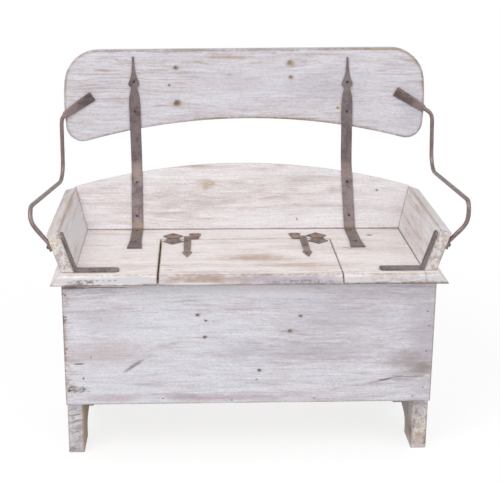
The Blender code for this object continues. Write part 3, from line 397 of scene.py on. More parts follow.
def grain_group() -> bpy.types.NodeTree:
    """Make the node group that draws thin white paint over pine.

    Noise is stretched along x, the way of the fibres. Its coarse layer is the growth bands, its
    middle layer the fibres and its finest layer the pores, and all three are shifted together by
    slow waves, so the lines wander. Rounder noise is the paint's own thickness. Where their sum is
    high the paint has worn off the hard grain, and where it is low the paint stands in ridges.

    Returns:
        The group: it takes a place, three colours and three strengths, and gives a colour and a
        height.
    """
    tree = bpy.data.node_groups.new("thin_paint_on_pine", "ShaderNodeTree")
    ports = {"INPUT": (("Place", "Vector"), ("Wash", "Color"), ("Thin", "Color"), ("Streak", "Color"),
                       ("Thinness", "Float"), ("Streaks", "Float"), ("Lines", "Float")),
             "OUTPUT": (("Colour", "Color"), ("Height", "Float"))}
    for way, sockets in ports.items():
        for name, kind in sockets:
            tree.interface.new_socket(name, in_out=way, socket_type="NodeSocket" + kind)
    pen = Pen(tree)
    given = tree.nodes.new("NodeGroupInput").outputs
    place = given["Place"]
    slow = pen.noise(place, (1.7, 6.0, 6.0), 2.0)
    ripple = pen.noise(place, (7.0, 24.0, 24.0), 1.0)
    shift = pen.sum_of((pen.math("SUBTRACT", slow, 0.5), 0.050), (pen.math("SUBTRACT", ripple, 0.5), 0.008))
    wandering = pen.vector("ADD", place, pen.node("CombineXYZ", {1: shift, 2: shift}).outputs[0])
    bands = pen.noise(wandering, (1.1, 46.0, 46.0), 3.0, 0.60)
    fibres = pen.noise(wandering, (9.0, 210.0, 210.0), 4.0, 0.72)
    pores = pen.noise(wandering, (24.0, 640.0, 640.0), 2.0, 0.6)
    patches = pen.noise(place, (2.4, 7.0, 7.0), 3.0, 0.6)
    mottle = pen.noise(wandering, (13.0, 64.0, 64.0), 4.0, 0.72)
    speck = pen.noise(place, (150.0, 330.0, 330.0), 3.0, 0.7)
    thin = pen.ramp(pen.sum_of((patches, 0.45), (bands, 0.30), (mottle, 0.25)), 0.42, 0.60)
    colour = pen.blend(pen.times(thin, given["Thinness"]), given["Wash"], given["Thin"])
    worn = pen.ramp(pen.sum_of((bands, 0.35), (patches, 0.30), (mottle, 0.35)), 0.50, 0.63)
    streaky = pen.times(worn, pen.ramp(fibres, 0.36, 0.60, 0.15, 1.0))
    colour = pen.blend(pen.times(streaky, given["Streaks"]), colour, given["Streak"])
    lines = pen.ramp(pen.sum_of((fibres, 0.72), (pores, 0.28)), 0.49, 0.60)
    darker = pen.blend(1.0, given["Streak"], (0.66, 0.66, 0.70), "MULTIPLY")
    where_thin = pen.ramp(pen.sum_of((patches, 0.5), (mottle, 0.5)), 0.38, 0.62, 0.35, 1.0)
    colour = pen.blend(pen.times(lines, pen.times(where_thin, given["Lines"])), colour, darker)
    ridges = pen.ramp(pen.sum_of((fibres, 0.65), (mottle, 0.35)), 0.47, 0.40, 0.0, 0.60)
    thick = pen.blend(1.0, given["Wash"], (1.10, 1.10, 1.09), "MULTIPLY")
    colour = pen.blend(ridges, colour, thick)
    colour = pen.blend(pen.ramp(speck, 0.46, 0.60, 0.0, 0.85), colour, (0.86, 0.85, 0.86), "MULTIPLY")
    height = pen.sum_of((fibres, 0.50), (pores, 0.30), (bands, 0.25), (mottle, 0.20))
    pen.feed(tree.nodes.new("NodeGroupOutput").inputs, {"Colour": colour, "Height": height})
    return tree


@dataclass(frozen=True)
class PaintedPine:
    """Whitewashed pine, worn on its arrises and rough on its sawn ends.

    Attributes:
        wash: the colour of the full paint.
        thin: the colour of paint that the wood shows through.
        streak: the colour of grain that the paint has left.
        bare: the colour of the wood on worn arrises.
        thinness: how much of the board is thinly painted.
        streaks: how strong the broad grain is.
        lines: how strong the fine grain is.
        wear: how much the arrises are worn.
        end: how rough and dark the sawn ends are.
        wear_reach: how far the wear goes in from an arris, in metres.
    """

    wash: Triple = (0.700, 0.690, 0.735)
    thin: Triple = (0.650, 0.590, 0.580)
    streak: Triple = (0.420, 0.325, 0.310)
    bare: Triple = (0.310, 0.215, 0.150)
    thinness: float = 0.75
    streaks: float = 0.45
    lines: float = 0.30
    wear: float = 0.55
    end: float = 0.55
    wear_reach: float = 0.0045

    def dressed(self, name: str, group: bpy.types.NodeTree, grain: Triple, seed: Triple,
                spots: tuple[Spot, ...]) -> bpy.types.Material:
        """Make the material of one board.

        Args:
            name: the material's name.
            group: the node group that draws the grain.
            grain: the turn that brings the board's fibres to the pattern's x axis, in radians.
            seed: where in the pattern this board is cut, in metres.
            spots: the marks on it.

        Returns:
            The material.
        """
        mat, pen = blank(name)
        where = pen.node("TexCoord").outputs
        place = where["Object"]
        cut = {"Vector": place, "Rotation": [-angle for angle in grain], "Location": seed}
        turned = pen.node("Mapping", cut, vector_type="POINT").outputs[0]
        feeds = {"Place": turned, "Wash": self.wash, "Thin": self.thin, "Streak": self.streak,
                 "Thinness": self.thinness, "Streaks": self.streaks, "Lines": self.lines}
        pine = pen.node("Group", feeds, node_tree=group).outputs
        colour, height = pen.lay(spots, place, pine["Colour"], pine["Height"])
        colour = self.sawn_ends(pen, colour, place, where["Normal"], grain)
        colour = self.worn_arrises(pen, colour, place)
        rough = pen.ramp(pine["Height"], 0.3, 0.8, 0.72, 0.92)
        pen.shade({"Base Color": colour, "Roughness": rough, "Specular IOR Level": 0.22},
                  {"Strength": 0.55, "Distance": 0.0010, "Height": height})
        return mat

    def sawn_ends(self, pen: Pen, colour: Socket, place: Socket, normal: Socket, grain: Triple) -> Socket:
        """Mottle the faces that the fibres end in, where the paint soaked in and flaked.

        Args:
            pen: the pen of the board's material.
            colour: the colour so far.
            place: Object coordinates.
            normal: the face's normal.
            grain: the turn of the fibres, in radians.

        Returns:
            The new colour.
        """
        fibres = Euler(grain).to_matrix() @ Vector((1.0, 0.0, 0.0))
        facing = pen.math("ABSOLUTE", pen.vector("DOT_PRODUCT", normal, tuple(fibres)))
        flakes = pen.sum_of((pen.noise(place, (70.0, 70.0, 70.0), 4.0, 0.65), 0.6),
                            (pen.noise(place, (230.0, 60.0, 230.0), 2.0, 0.6), 0.4))
        share = pen.times(pen.ramp(facing, 0.75, 0.92, 0.0, self.end), pen.ramp(flakes, 0.46, 0.60))
        return pen.blend(share, colour, self.bare)

    def worn_arrises(self, pen: Pen, colour: Socket, place: Socket) -> Socket:
        """Let the wood show on the arrises, in patches.

        Args:
            pen: the pen of the board's material.
            colour: the colour so far.
            place: Object coordinates.

        Returns:
            The new colour.
        """
        patchy = pen.sum_of((pen.noise(place, (9.0, 9.0, 9.0), 3.0, 0.6), 0.6),
                            (pen.noise(place, (90.0, 90.0, 90.0), 3.0, 0.6), 0.4))
        near = pen.edge_wear(self.wear_reach, 0.003, 0.055)
        share = pen.times(near, pen.ramp(patchy, 0.40, 0.56, 0.30 * self.wear, self.wear))
        return pen.blend(share, colour, self.bare)


@dataclass(frozen=True)
class ForgedIron:
    """Hammered iron under an old brown-grey skin.

    Attributes:
        skin: its main colour.
        dark: the colour of its scale.
        bare: the colour of its rubbed edges.
        metal: how metallic it is.
        rough: how rough it is.
        hammer: how deep the hammer's marks are, in metres.
    """

    skin: Triple = (0.225, 0.178, 0.182)
    dark: Triple = (0.115, 0.085, 0.087)
    bare: Triple = (0.400, 0.345, 0.330)
    metal: float = 0.45
    rough: float = 0.50
    hammer: float = 0.0006

    def dressed(self, name: str, spots: tuple[Spot, ...] = ()) -> bpy.types.Material:
        """Make the material of one iron.

        Args:
            name: the material's name.
            spots: rust and scale on it.

        Returns:
            The material.
        """
        mat, pen = blank(name)
        place = pen.node("TexCoord").outputs["Object"]
        cloud = pen.noise(place, (38.0, 38.0, 38.0), 5.0, 0.68)
        speck = pen.noise(place, (420.0, 420.0, 420.0), 2.0, 0.6)
        dents = pen.node("TexVoronoi", {"Vector": place, "Scale": 95.0}, feature="SMOOTH_F1")
        scale = pen.ramp(pen.sum_of((cloud, 0.65), (speck, 0.35)), 0.44, 0.60)
        height = pen.sum_of((dents.outputs["Distance"], 1.0), (speck, 0.25), (cloud, 0.3))
        colour, height = pen.lay(spots, place, pen.blend(scale, self.skin, self.dark), height)
        rubbed = pen.times(pen.edge_wear(0.0012, 0.02, 0.35), pen.ramp(cloud, 0.40, 0.60, 0.15, 0.75))
        rough = pen.ramp(speck, 0.3, 0.7, self.rough - 0.08, self.rough + 0.14)
        pen.shade({"Base Color": pen.blend(rubbed, colour, self.bare), "Metallic": self.metal,
                   "Roughness": rough}, {"Strength": 0.7, "Distance": self.hammer, "Height": height})
        return mat


def surface(name: str, grid: np.ndarray) -> bpy.types.Mesh:
    """Make a mesh of one or more grids of points.

    Args:
        name: the mesh's name.
        grid: points as (pieces, rows, columns, 3). Each row joins its own start, and the first and
            last rows of a piece may each be gathered in one point.

    Returns:
        The mesh, shaded smooth.
    """
    pieces, rows, columns, _ = grid.shape
    index = np.arange(pieces * rows * columns).reshape(pieces, rows, columns)
    ahead = np.roll(index, -1, axis=2)
    quads = np.stack([index[:, :-1], ahead[:, :-1], ahead[:, 1:], index[:, 1:]], axis=-1).reshape(-1, 4)
    mesh = bpy.data.meshes.new(name)
    mesh.from_pydata(grid.reshape(-1, 3).tolist(), [], quads.tolist())
    welded = bmesh.new()
    welded.from_mesh(mesh)
    bmesh.ops.remove_doubles(welded, verts=welded.verts, dist=1e-7)
    bmesh.ops.dissolve_degenerate(welded, edges=welded.edges, dist=1e-7)
    welded.to_mesh(mesh)
    welded.free()
    mesh.shade_smooth()
    return mesh


def put(name: str, mesh: bpy.types.Mesh, mat: bpy.types.Material, body: str) -> bpy.types.Object:
    """Put a mesh into the scene as a piece that rides on a body.

    Args:
        name: the piece's name.
        mesh: its mesh, placed in the frame.
        mat: its material.
        body: the body that carries it.

    Returns:
        The piece.
    """
    piece = bpy.data.objects.new(name, mesh)
    bpy.context.scene.collection.objects.link(piece)
    mesh.materials.append(mat)
    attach(piece, body)
    return piece


@dataclass
class Heads:
    """Round heads of screws or nails, all of one size.

    Attributes:
        radius: the head's radius, in metres.
        height: how far the crown stands up.
        slot: the width of the driver's slot, or 0 for a nail.
        sides: how many columns a head has.
    """

    radius: float
    height: float
    slot: float = 0.0
    sides: int = 24

    def mesh(self, name: str, places: list[Vector], normals: list[Vector],
             turns: list[float]) -> bpy.types.Mesh:
        """Heads on their places.

        A head is a turned surface. With t from 0 at the rim's foot to 1 at the crown, its radius
        is R times the cosine of t quarter turns, and its height is H times the sine. The slot
        lowers each point whose distance from the slot's middle line is under half its width.

        Args:
            name: the mesh's name.
            places: the points that the heads stand on.
            normals: the way each head faces.
            turns: the turn of each head's slot, in radians.

        Returns:
            The mesh.
        """
        quarter = np.concatenate([[1.0, 0.0], np.linspace(0.0, 1.0, 6)]) * math.pi / 2
        around = np.linspace(0.0, 2 * math.pi, self.sides, endpoint=False)
        reach = self.radius * np.cos(quarter)[:, None]
        lift = self.height * np.sin(quarter)[:, None] + np.zeros_like(around)
        lift[:2] = -self.height
        across = reach * np.cos(around)
        along = reach * np.sin(around)
        if self.slot:
            groove = np.clip(1.0 - np.abs(across) / (self.slot / 2), 0.0, 0.25) * 4.0
            lift = np.where(lift > 0, lift - groove * np.minimum(lift, 0.6 * self.height), lift)
        shape = np.stack([across, along, lift], axis=-1)
        grids = []
        for place, normal, turn in zip(places, normals, turns):
            frame = UP.rotation_difference(normal).to_matrix() @ Matrix.Rotation(turn, 3, "Z")
            grids.append(shape @ np.array(frame).T + np.array(place))
        return surface(name, np.stack(grids))


def seen_by_eye(pen: Pen) -> Socket:
    """Tell what is seen straight, in a gloss or through glass.

    Args:
        pen: the pen of a material or of the world.

    Returns:
        One there, and else zero.
    """
    rays = pen.node("LightPath").outputs
    aside = pen.math("MAXIMUM", rays["Is Glossy Ray"], rays["Is Transmission Ray"])
    return pen.math("MAXIMUM", rays["Is Camera Ray"], aside)


@dataclass
class Studio:
    """The camera of the photograph, the pale floor and the soft light.

    Attributes:
        place: the camera's place, in metres.
        yaw: its turn to the right, in radians.
        pitch: how far it looks down, in radians.
        roll: its roll, in radians.
        focal: its focal length in widths of the picture.
        shift: how far the picture's middle is off the lens's axis, in widths.
        aim: the point that the lamps face.
    """

    place: Triple = (-0.121518, -2.721611, 1.269010)
    yaw: float = 0.047516
    pitch: float = 0.296402
    roll: float = -0.0079693
    focal: float = 2.33483
    shift: float = 0.0011
    aim: Triple = (0.0, 0.0, 0.45)

    def camera(self) -> None:
        """Set up the camera."""
        lens = bpy.data.cameras.new("photo_camera")
        lens.sensor_width = 36.0
        lens.lens = self.focal * lens.sensor_width
        lens.shift_x = self.shift
        lens.clip_end = 100.0
        ahead = Vector((math.sin(self.yaw) * math.cos(self.pitch),
                        math.cos(self.yaw) * math.cos(self.pitch), -math.sin(self.pitch)))
        right = Vector((math.cos(self.yaw), -math.sin(self.yaw), 0.0))
        down = ahead.cross(right)
        level = Matrix((right, -down, -ahead)).transposed()
        camera = bpy.data.objects.new("photo_camera", lens)
        camera.matrix_world = (Matrix.Translation(self.place) @ level.to_4x4()
                               @ Matrix.Rotation(-self.roll, 4, "Z"))
        bpy.context.scene.collection.objects.link(camera)
        bpy.context.scene.camera = camera

    def lamp(self, name: str, place: Triple, size: float, watts: float, colour: Triple) -> None:
        """Hang one square lamp that faces the bench.

        Args:
            name: its name.
            place: its place, in metres.
            size: the length of its sides, in metres.
            watts: its power.
            colour: its colour.
        """
        light = bpy.data.lights.new(name, "AREA")
        light.shape = "SQUARE"
        light.size = size
        light.energy = watts
        light.color = colour
        lamp = bpy.data.objects.new(name, light)
        lamp.location = place
        lamp.rotation_euler = (Vector(self.aim) - Vector(place)).to_track_quat("-Z", "Y").to_euler()
        bpy.context.scene.collection.objects.link(lamp)

    def light(self) -> None:
        """Set up the soft lamps and the white world."""
        self.lamp("window_light", (-1.8, -2.5, 3.4), 2.4, 72.0, (1.0, 0.985, 0.965))
        self.lamp("fill_light", (2.4, -2.5, 2.4), 2.6, 30.0, (0.96, 0.975, 1.0))
        world = bpy.data.worlds.new("white_room")
        bpy.context.scene.world = world
        world.use_nodes = True
        pen = Pen(world.node_tree)
        pen.feed(world.node_tree.nodes["Background"].inputs,
                 {"Color": (1.0, 1.0, 1.0), "Strength": pen.ramp(seen_by_eye(pen), 0.0, 1.0, 0.64, 1.0)})

    def floor(self) -> None:
        """Lay the pale floor, a disc whose rows widen with the square of their number.

        Where the camera sees it, part of its white is its own, so it looks white and keeps a soft
        shadow. Far from the bench it is all its own.
        """
        rows = np.linspace(0.0, 1.0, 12) ** 2 * 14.0
        around = np.linspace(2 * math.pi, 0.0, 48, endpoint=False)
        grid = np.stack([rows[:, None] * np.cos(around), rows[:, None] * np.sin(around),
                         np.zeros((rows.size, around.size))], axis=-1)
        disc = bpy.data.objects.new("studio_floor", surface("studio_floor", grid[None]))
        bpy.context.scene.collection.objects.link(disc)
        mat, pen = blank("studio_floor_white")
        mat.node_tree.nodes.clear()
        lit = pen.node("BsdfDiffuse", {"Color": (0.80, 0.80, 0.80)})
        shadow = pen.node("BsdfDiffuse", {"Color": (0.23, 0.23, 0.23)})
        own = pen.node("Emission", {"Strength": 0.80})
        white = pen.node("Emission", {"Strength": 1.0})
        near = pen.node("AddShader", {0: shadow.outputs[0], 1: own.outputs[0]})
        away = pen.ramp(pen.vector("LENGTH", pen.node("TexCoord").outputs["Object"]), 0.7, 1.7)
        seen = pen.node("MixShader", {0: away, 1: near.outputs[0], 2: white.outputs[0]})
        final = pen.node("MixShader", {0: seen_by_eye(pen), 1: lit.outputs[0], 2: seen.outputs[0]})
        pen.node("OutputMaterial", {"Surface": final.outputs[0]})
        disc.data.materials.append(mat)

    def build(self) -> None:
        """Set up the camera, the light and the floor."""
        self.camera()
        self.light()
        self.floor()
        LOG.info("studio: camera, two lamps, white room and floor")


@dataclass
class Woodwork:
    """The boards of the bench and their paint.

    Attributes:
        nodes: the frame's objects by name.
        rake: how far the back panel leans back, in radians.
        splay: how far the arm boards lean out, in radians.
        group: the node group that draws the grain.
    """

    nodes: dict[str, bpy.types.Object]
    rake: float = PANEL_RAKE
    splay: float = ARM_SPLAY
    group: bpy.types.NodeTree = field(default_factory=grain_group)

    def paint(self, name: str, finish: PaintedPine, grain: Triple, seed: Triple,
              spots: tuple[Spot, ...] = ()) -> None:
        """Give one board its own material.

        Args:
            name: the board's name.
            finish: its paint.
            grain: the turn that brings its fibres to the pattern's x axis, in radians.
            seed: where in the pattern it is cut, in metres.
            spots: the marks on it.
        """
        mat = finish.dressed("paint_" + name, self.group, grain, seed, spots)
        for slot in self.nodes[name].material_slots:
            slot.material = mat
        LOG.info("painted %s with %d marks", name, len(spots))

    def backrest(self) -> None:
        """The upper board: cool, thinly streaked paint, knots and a brown rim."""
        board = Marker((0.0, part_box("backrest_board")[0].y, 0.0))
        on = board.upright
        spots = (
            *on(Mark.BROWN_STREAK, (-214, 751.5, 46, 3, 0.75, -3), (-130, 756, 40, 3, 0.45, 3)),
            *on(Mark.KNOT_HALO, (118, 860, 18, 14, 0.8), (121, 824, 14, 13, 0.7)),
            *on(Mark.CREAM, (242, 747, 13, 13, 0.7)),
            *on(Mark.KNOT_HALO, (-165, 757, 34, 12, 0.7)),
            *board.knots((-170, 848, 6.6, 0.75), (-187, 804, 3.6, 0.8), (-167, 757, 9, 0.85),
                         (118, 861, 8.5, 0.50), (120, 825, 5.2, 0.8), (242, 746, 5, 0.6)),
            *on(Mark.ROSE_WASH, (-10, 812, 160, 40, 0.30)),
            *on(Mark.BROWN_STREAK, (-40, 874.5, 95, 7, 0.55)),
            *on(Mark.GREY_STAIN, (-355, 842, 30, 7, 0.55)),
            *on(Mark.BROWN_STREAK, (-50, 876, 110, 6, 0.55), (-345, 841, 45, 4, 0.45),
                (435, 868, 45, 6, 0.65)),
            *on(Mark.BROWN_STREAK, (456, 815, 12, 40, 0.7), (50, 700, 160, 6, 0.5), broken=True),
            *on(Mark.BARE_WOOD, (30, 718.5, 200, 5, 0.9), (461, 820, 6, 60, 0.9),
                (350, 896.5, 130, 4.5, 0.9)),
            *on(Mark.MAUVE, (200, 800, 160, 60, 0.30), (440, 760, 60, 120, 0.35)),
        )
        finish = PaintedPine(wash=(0.695, 0.690, 0.752), thin=(0.660, 0.612, 0.630), wear=1.0,
                             thinness=0.7, streaks=0.22, lines=0.38, bare=(0.200, 0.125, 0.075),
                             wear_reach=0.012)
        self.paint("backrest_board", finish, Grain.ACROSS_ON_EDGE.value, (0.3, 0.1, 2.0), spots)

    def panel(self) -> None:
        """The raked panel: warmer paint with short streaks and two pale knots."""
        on = Marker().at
        spots = (
            *on(Mark.KNOT_HALO, (-94, 195, 553, 34, 30, 24, 0.75)),
            *on(Mark.BROWN_STREAK, (-86, 197, 557, 20, 30, 10, 0.8), broken=True),
            *on(Mark.STAIN, (-98, 191, 546, 15, 20, 12, 0.95)),
            *on(Mark.GREY_STAIN, (-80, 170, 510, 120, 30, 12, 0.35), (150, 205, 570, 140, 30, 14, 0.30)),
            *on(Mark.BROWN_STREAK, (-183, 159, 488, 50, 20, 4, 0.55), (-94, 152, 475, 30, 20, 3, 0.5)),
            *on(Mark.KNOT_HALO, (229, 191, 544, 16, 30, 16, 0.4)),
            *on(Mark.DARK_SPOT_AND_PAINTED_SHADOW, (345, 188, 539, 4, 20, 4, 0.7), (136, 150, 473, 3, 20, 3, 0.7)),
            *on(Mark.BROWN_STREAK, (68, 178, 522, 60, 20, 5, 0.4, (0, -6, 0)),
                (-130, 222, 596, 70, 30, 6, 0.5)),
            *on(Mark.CRACK, (0, 136, 450.5, 3000, 20, 3, 0.75)),
        )
        finish = PaintedPine(wash=(0.815, 0.785, 0.800), thin=(0.745, 0.680, 0.680), streaks=0.34,
                             streak=(0.430, 0.355, 0.345), thinness=0.9, lines=0.20, wear=0.6)
        turn = (math.pi / 2 - self.rake, 0.0, 0.0)
        self.paint("back_panel", finish, turn, (4.0, 0.7, 1.0), spots)

    def arms(self) -> None:
        """The arm boards: grey inside, tan on the inner arrises, mottled front ends."""
        finish = PaintedPine(wash=(0.785, 0.755, 0.765), thin=(0.700, 0.640, 0.620), wear=0.75,
                             end=0.65, streaks=0.35)
        for side, sign in SIDES:
            low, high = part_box("arm_board_" + side)
            on = Marker((0.0, low.y, 0.0)).upright
            lean = (0, sign * math.degrees(self.splay), 0)
            rim = Marker((0.0, 0.0, high.z)).at
            spots = rim(Mark.BARE_WOOD, (sign * 428.5, 0, 0, 10, 260, 10, 0.55, lean))
            if side == "left":
                spots += (*on(Mark.CREAM, (-441, 513, 22, 24, 1.0)),
                          *on(Mark.KNOT_HALO, (-441, 514, 7, 8, 0.35)),
                          *on(Mark.GREY_STAIN, (-430, 478, 6, 25, 0.5, -20)))
            else:
                spots += (*on(Mark.KNOT_HALO, (447, 528, 12, 14, 0.6)),
                          *on(Mark.GREY_STAIN, (438, 490, 7, 30, 0.75, 24)))
            turn = (0.0, sign * self.splay, math.pi / 2)
            self.paint("arm_board_" + side, finish, turn, (sign * 3.0, 1.3, 0.4 + sign), spots)

    def seat(self) -> None:
        """The seat board and its lid: warm cream paint, worn where people sit."""
        (_, front, _), (_, _, top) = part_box("seat_board")
        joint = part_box("arm_board_right")[0].x * MM_IN_A_METRE
        on = Marker((0.0, 0.0, top)).at
        edge = Marker((0.0, front, top)).at
        bevel = (
            *edge(Mark.COOL_PAINT, (0, 6, -10, 3000, 14, 14, 0.95)),
            # Painted shadow and the lip's own dark: a dark band along the bevel's lower lip, the whole
            # length of the board, where the overhang's shade falls.
            *edge(Mark.DARK_SPOT_AND_PAINTED_SHADOW, (0, -3, -24, 3000, 13, 11.5, 0.95)),
            *edge(Mark.BROWN_STREAK, (0, 17, 0, 3000, 4, 4, 0.5), broken=True),
            *edge(Mark.DARK_SPOT_AND_PAINTED_SHADOW, (-370, 6, -12, 70, 10, 5, 0.8), broken=True),
            *edge(Mark.BROWN_STREAK, (330, 6, -10, 120, 12, 8, 0.5), broken=True),
        )
        seat = (
            *on(Mark.BROWN_STREAK, (240, -26, 0, 18, 9, 20, 0.7, (0, 0, -25))),
            *on(Mark.GREY_STAIN, (250, -36, 0, 14, 5, 20, 0.8, (0, 0, -30))),
            *on(Mark.KNOT, (312, 80, 0, 13, 10, 20, 0.75)),
            *on(Mark.BROWN_STREAK, (263, -81, 0, 12, 14, 20, 0.6), broken=True),
            *on(Mark.CREAM, (308, -114, 0, 12, 10, 20, 0.4)),
            *on(Mark.GREY_STAIN, (-285, -101, 0, 26, 5, 20, 0.7)),
            *on(Mark.BROWN_STREAK, (-350, 0, 0, 40, 6, 20, 0.35)),
            *on(Mark.CREAM, (-215, -60, 0, 4, 190, 30, 0.35)),
            *bevel,
            *edge(Mark.BROWN_STREAK, (330, 16, 0, 120, 6, 10, 0.5)),
            *edge(Mark.DASHES, *((-394 + 13 * i, 7.5, -9, 6, 4, 2.2, 0.7) for i in range(8))),
            *on(Mark.CRACK, (-joint, 0, 0, 3.4, 300, 20, 0.35), (joint, 0, 0, 3.4, 300, 20, 0.85)),
        )
        lid = (
            # The bevel's marks again, with the painted shadow along its lower lip.
            *bevel,
            *on(Mark.STAIN, (9, -108, 0, 135, 42, 30, 0.95), (110, -165, 0, 110, 26, 30, 0.55)),
            *on(Mark.MAUVE, (-80, -210, 0, 180, 20, 20, 0.45)),
            *on(Mark.STAIN, (-130, -60, 0, 60, 12, 20, 0.45)),
            *on(Mark.MAUVE, (120, -10, 0, 90, 14, 20, 0.35)),
            *on(Mark.KNOT_HALO, (-196, -160, 0, 20, 8, 20, 0.6)),
            *on(Mark.BROWN_STREAK, (-186, -195, 0, 22, 8, 20, 0.5)),
            *edge(Mark.MAUVE, (30, 9, -9, 330, 24, 24, 0.85)),
            *edge(Mark.BROWN_STREAK, (-105, 11, -9, 150, 22, 18, 0.90)),
            *edge(Mark.BROWN_STREAK, (20, 18, 0, 260, 6, 6, 0.85), broken=True),
            *edge(Mark.DARK_SPOT_AND_PAINTED_SHADOW, (110, 4, -14, 120, 8, 6, 0.6), broken=True),
            *edge(Mark.THICK_PAINT_AND_PAINTED_LIGHT, (-125, 1, -17, 100, 6, 5, 0.8)),
            *edge(Mark.THICK_PAINT_AND_PAINTED_LIGHT, (-206, 8, -10, 16, 14, 12, 0.9), broken=True),
            *on(Mark.CREAM, (-205, -60, 0, 4, 190, 30, 0.8)),
            *on(Mark.STAIN, (120, -205, 0, 80, 6, 20, 0.45)),
        )
        finish = PaintedPine(wash=(0.895, 0.848, 0.836), thin=(0.830, 0.753, 0.726), thinness=0.85,
                             streak=(0.450, 0.360, 0.320), streaks=0.36, lines=0.20, wear=0.9)
        for name, spots in (("seat_board", seat), ("lid_board", lid)):
            self.paint(name, finish, Grain.ACROSS.value, (1.0, 2.0, 0.0), spots)

    def chest_front(self) -> None:
        """The chest's front: cool paint, small knots, a long scrape and stained ends."""
        board = Marker((0.0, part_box("chest_front")[0].y, 0.0))
        on = board.upright
        spots = (
            *on(Mark.BROWN_STREAK, (-80, 336, 24, 2, 0.6), (-118, 297, 26, 2, 0.6), (90, 310, 28, 4, 0.6)),
            *board.knots((-119, 351, 4.6, 1.0), (-101, 337, 3.8, 0.9), (-103, 297, 4.8, 0.95),
                         (116, 347, 4.6, 1.0), (92, 310, 5, 1.0), (23, 214, 4.4, 1.0), (16, 191, 2.4, 0.6)),
            *on(Mark.SCRAPE, (-266, 229, 34, 6.2, 1.0, -35)),
            *on(Mark.GREY_STAIN, (392, 215, 38, 18, 0.55, -10), (375, 235, 85, 52, 0.68),
                (310, 186, 52, 7, 1.0, -11)),
            *on(Mark.CRACK, (318, 188.5, 30, 3.2, 0.95, -13)),
            *on(Mark.MAUVE, (350, 188, 55, 9, 0.8)),
            *on(Mark.CRACK, (362, 195, 56, 1.5, 0.75, 2)),
            *on(Mark.BROWN_STREAK, (-427, 305, 13, 60, 0.85)),
            *on(Mark.DARK_SPOT_AND_PAINTED_SHADOW, (-426, 260, 10, 140, 0.8), broken=True),
            *on(Mark.BROWN_STREAK, (-425, 200, 30, 110, 0.75), (-420, 400, 26, 60, 0.6), broken=True),
            *on(Mark.DARK_SPOT_AND_PAINTED_SHADOW, (-405, 172, 30, 10, 0.8), (-395, 425, 55, 6, 0.8), broken=True),
            # The first row darkens the right end of the front broadly, in mauve.
            *on(Mark.MAUVE, (425, 290, 120, 240, 0.60), (210, 350, 280, 90, 0.42),
                (130, 262, 350, 50, 0.42), (-330, 340, 120, 50, 0.30)),
            *on(Mark.GREY_STAIN, (403, 218, 42, 30, 0.95), (404, 213, 22, 10, 0.7, -20)),
            *on(Mark.ROSE_WASH, (-340, 262, 150, 45, 0.55)),
            *on(Mark.GREY_STAIN, (-400, 170, 30, 6, 0.7), (-405, 423, 60, 6, 0.55)),
            *on(Mark.ROSE_WASH, (-60, 146, 180, 14, 0.85)),
            *on(Mark.MAUVE, (-160, 150, 70, 12, 0.7)),
            *on(Mark.DARK_SPOT_AND_PAINTED_SHADOW, (-423, 269, 5, 5, 0.9), (-364, 252, 2, 7, 0.9), broken=True),
            *on(Mark.DARK_SPOT_AND_PAINTED_SHADOW, (-392, 234, 20, 2.8, 0.9), (-383, 197, 3.2, 3.6, 0.9)),
            *on(Mark.DARK_SPOT_AND_PAINTED_SHADOW, (-414, 167, 11, 6, 0.9), (-380, 167, 10, 5, 0.9), (-421, 402, 9, 7, 0.9),
                (-421, 346, 7, 10, 0.9), broken=True),
            *on(Mark.ROSE_WASH, (-320, 148, 100, 14, 0.7)),
            # Painted light: a paler band over the top of the front, which lightens the shade that the seat's
            # overhang casts there.
            *on(Mark.THICK_PAINT_AND_PAINTED_LIGHT, (10, 410, 340, 20, 0.50)),
            *on(Mark.BROWN_STREAK, (-426, 300, 30, 50, 0.42)),
            # Painted shadow with dirt at the joint: a dark line along the top of the front at the left, just
            # under the seat's edge.
            *on(Mark.DARK_SPOT_AND_PAINTED_SHADOW, (-400, 418.5, 50, 4, 0.80), (-330, 419, 85, 2.6, 0.75)),
        )
        finish = PaintedPine(wash=(0.725, 0.722, 0.775), thin=(0.660, 0.610, 0.645), streaks=0.26,
                             streak=(0.390, 0.305, 0.340), lines=0.38, thinness=0.70, wear=1.0,
                             bare=(0.240, 0.165, 0.120), wear_reach=0.006)
        self.paint("chest_front", finish, Grain.ACROSS_ON_EDGE.value, (2.6, 0.0, 3.0), spots)

    def chest(self) -> None:
        """The chest's other boards: plain paint outside, thin paint inside."""
        finish = PaintedPine(wash=(0.670, 0.660, 0.700), streaks=0.45, wear=0.6)
        on = Marker((0.0, 0.166, 0.0)).upright
        spots = (*on(Mark.KNOT, (210, 300, 12, 10, 0.8), (-150, 220, 9, 8, 0.8)),
                 *on(Mark.STAIN, (-20, 350, 120, 20, 0.4)))
        self.paint("chest_back", finish, Grain.ACROSS_ON_EDGE.value, (6.0, 0.0, 4.0), spots)
        for side, sign in SIDES:
            on = Marker((sign * 0.425, 0.0, 0.0)).at
            spots = (*on(Mark.KNOT, (0, -60, 330, 30, 10, 8, 0.8), (0, 80, 210, 30, 7, 7, 0.7)),
                     *on(Mark.BROWN_STREAK, (0, 20, 255, 30, 80, 6, 0.5)))
            self.paint("chest_end_" + side, finish, Grain.FRONT_TO_BACK_ON_EDGE.value,
                       (8.0, 0.0, sign + 6.0), spots)
        bare = PaintedPine(wash=(0.560, 0.475, 0.395), thin=(0.500, 0.395, 0.305), thinness=0.9,
                           streak=(0.330, 0.220, 0.140), bare=(0.300, 0.200, 0.130), streaks=0.55,
                           wear=0.2)
        self.paint("chest_floor", bare, Grain.ACROSS.value, (3.0, 5.0, 1.0))
        for side, sign in SIDES:
            self.paint("seat_bearer_" + side, bare, Grain.FRONT_TO_BACK.value, (sign + 4.0, 7.0, 0.0))
            self.paint("lid_batten_" + side, bare, Grain.FRONT_TO_BACK.value, (sign + 7.0, 9.0, 0.0))

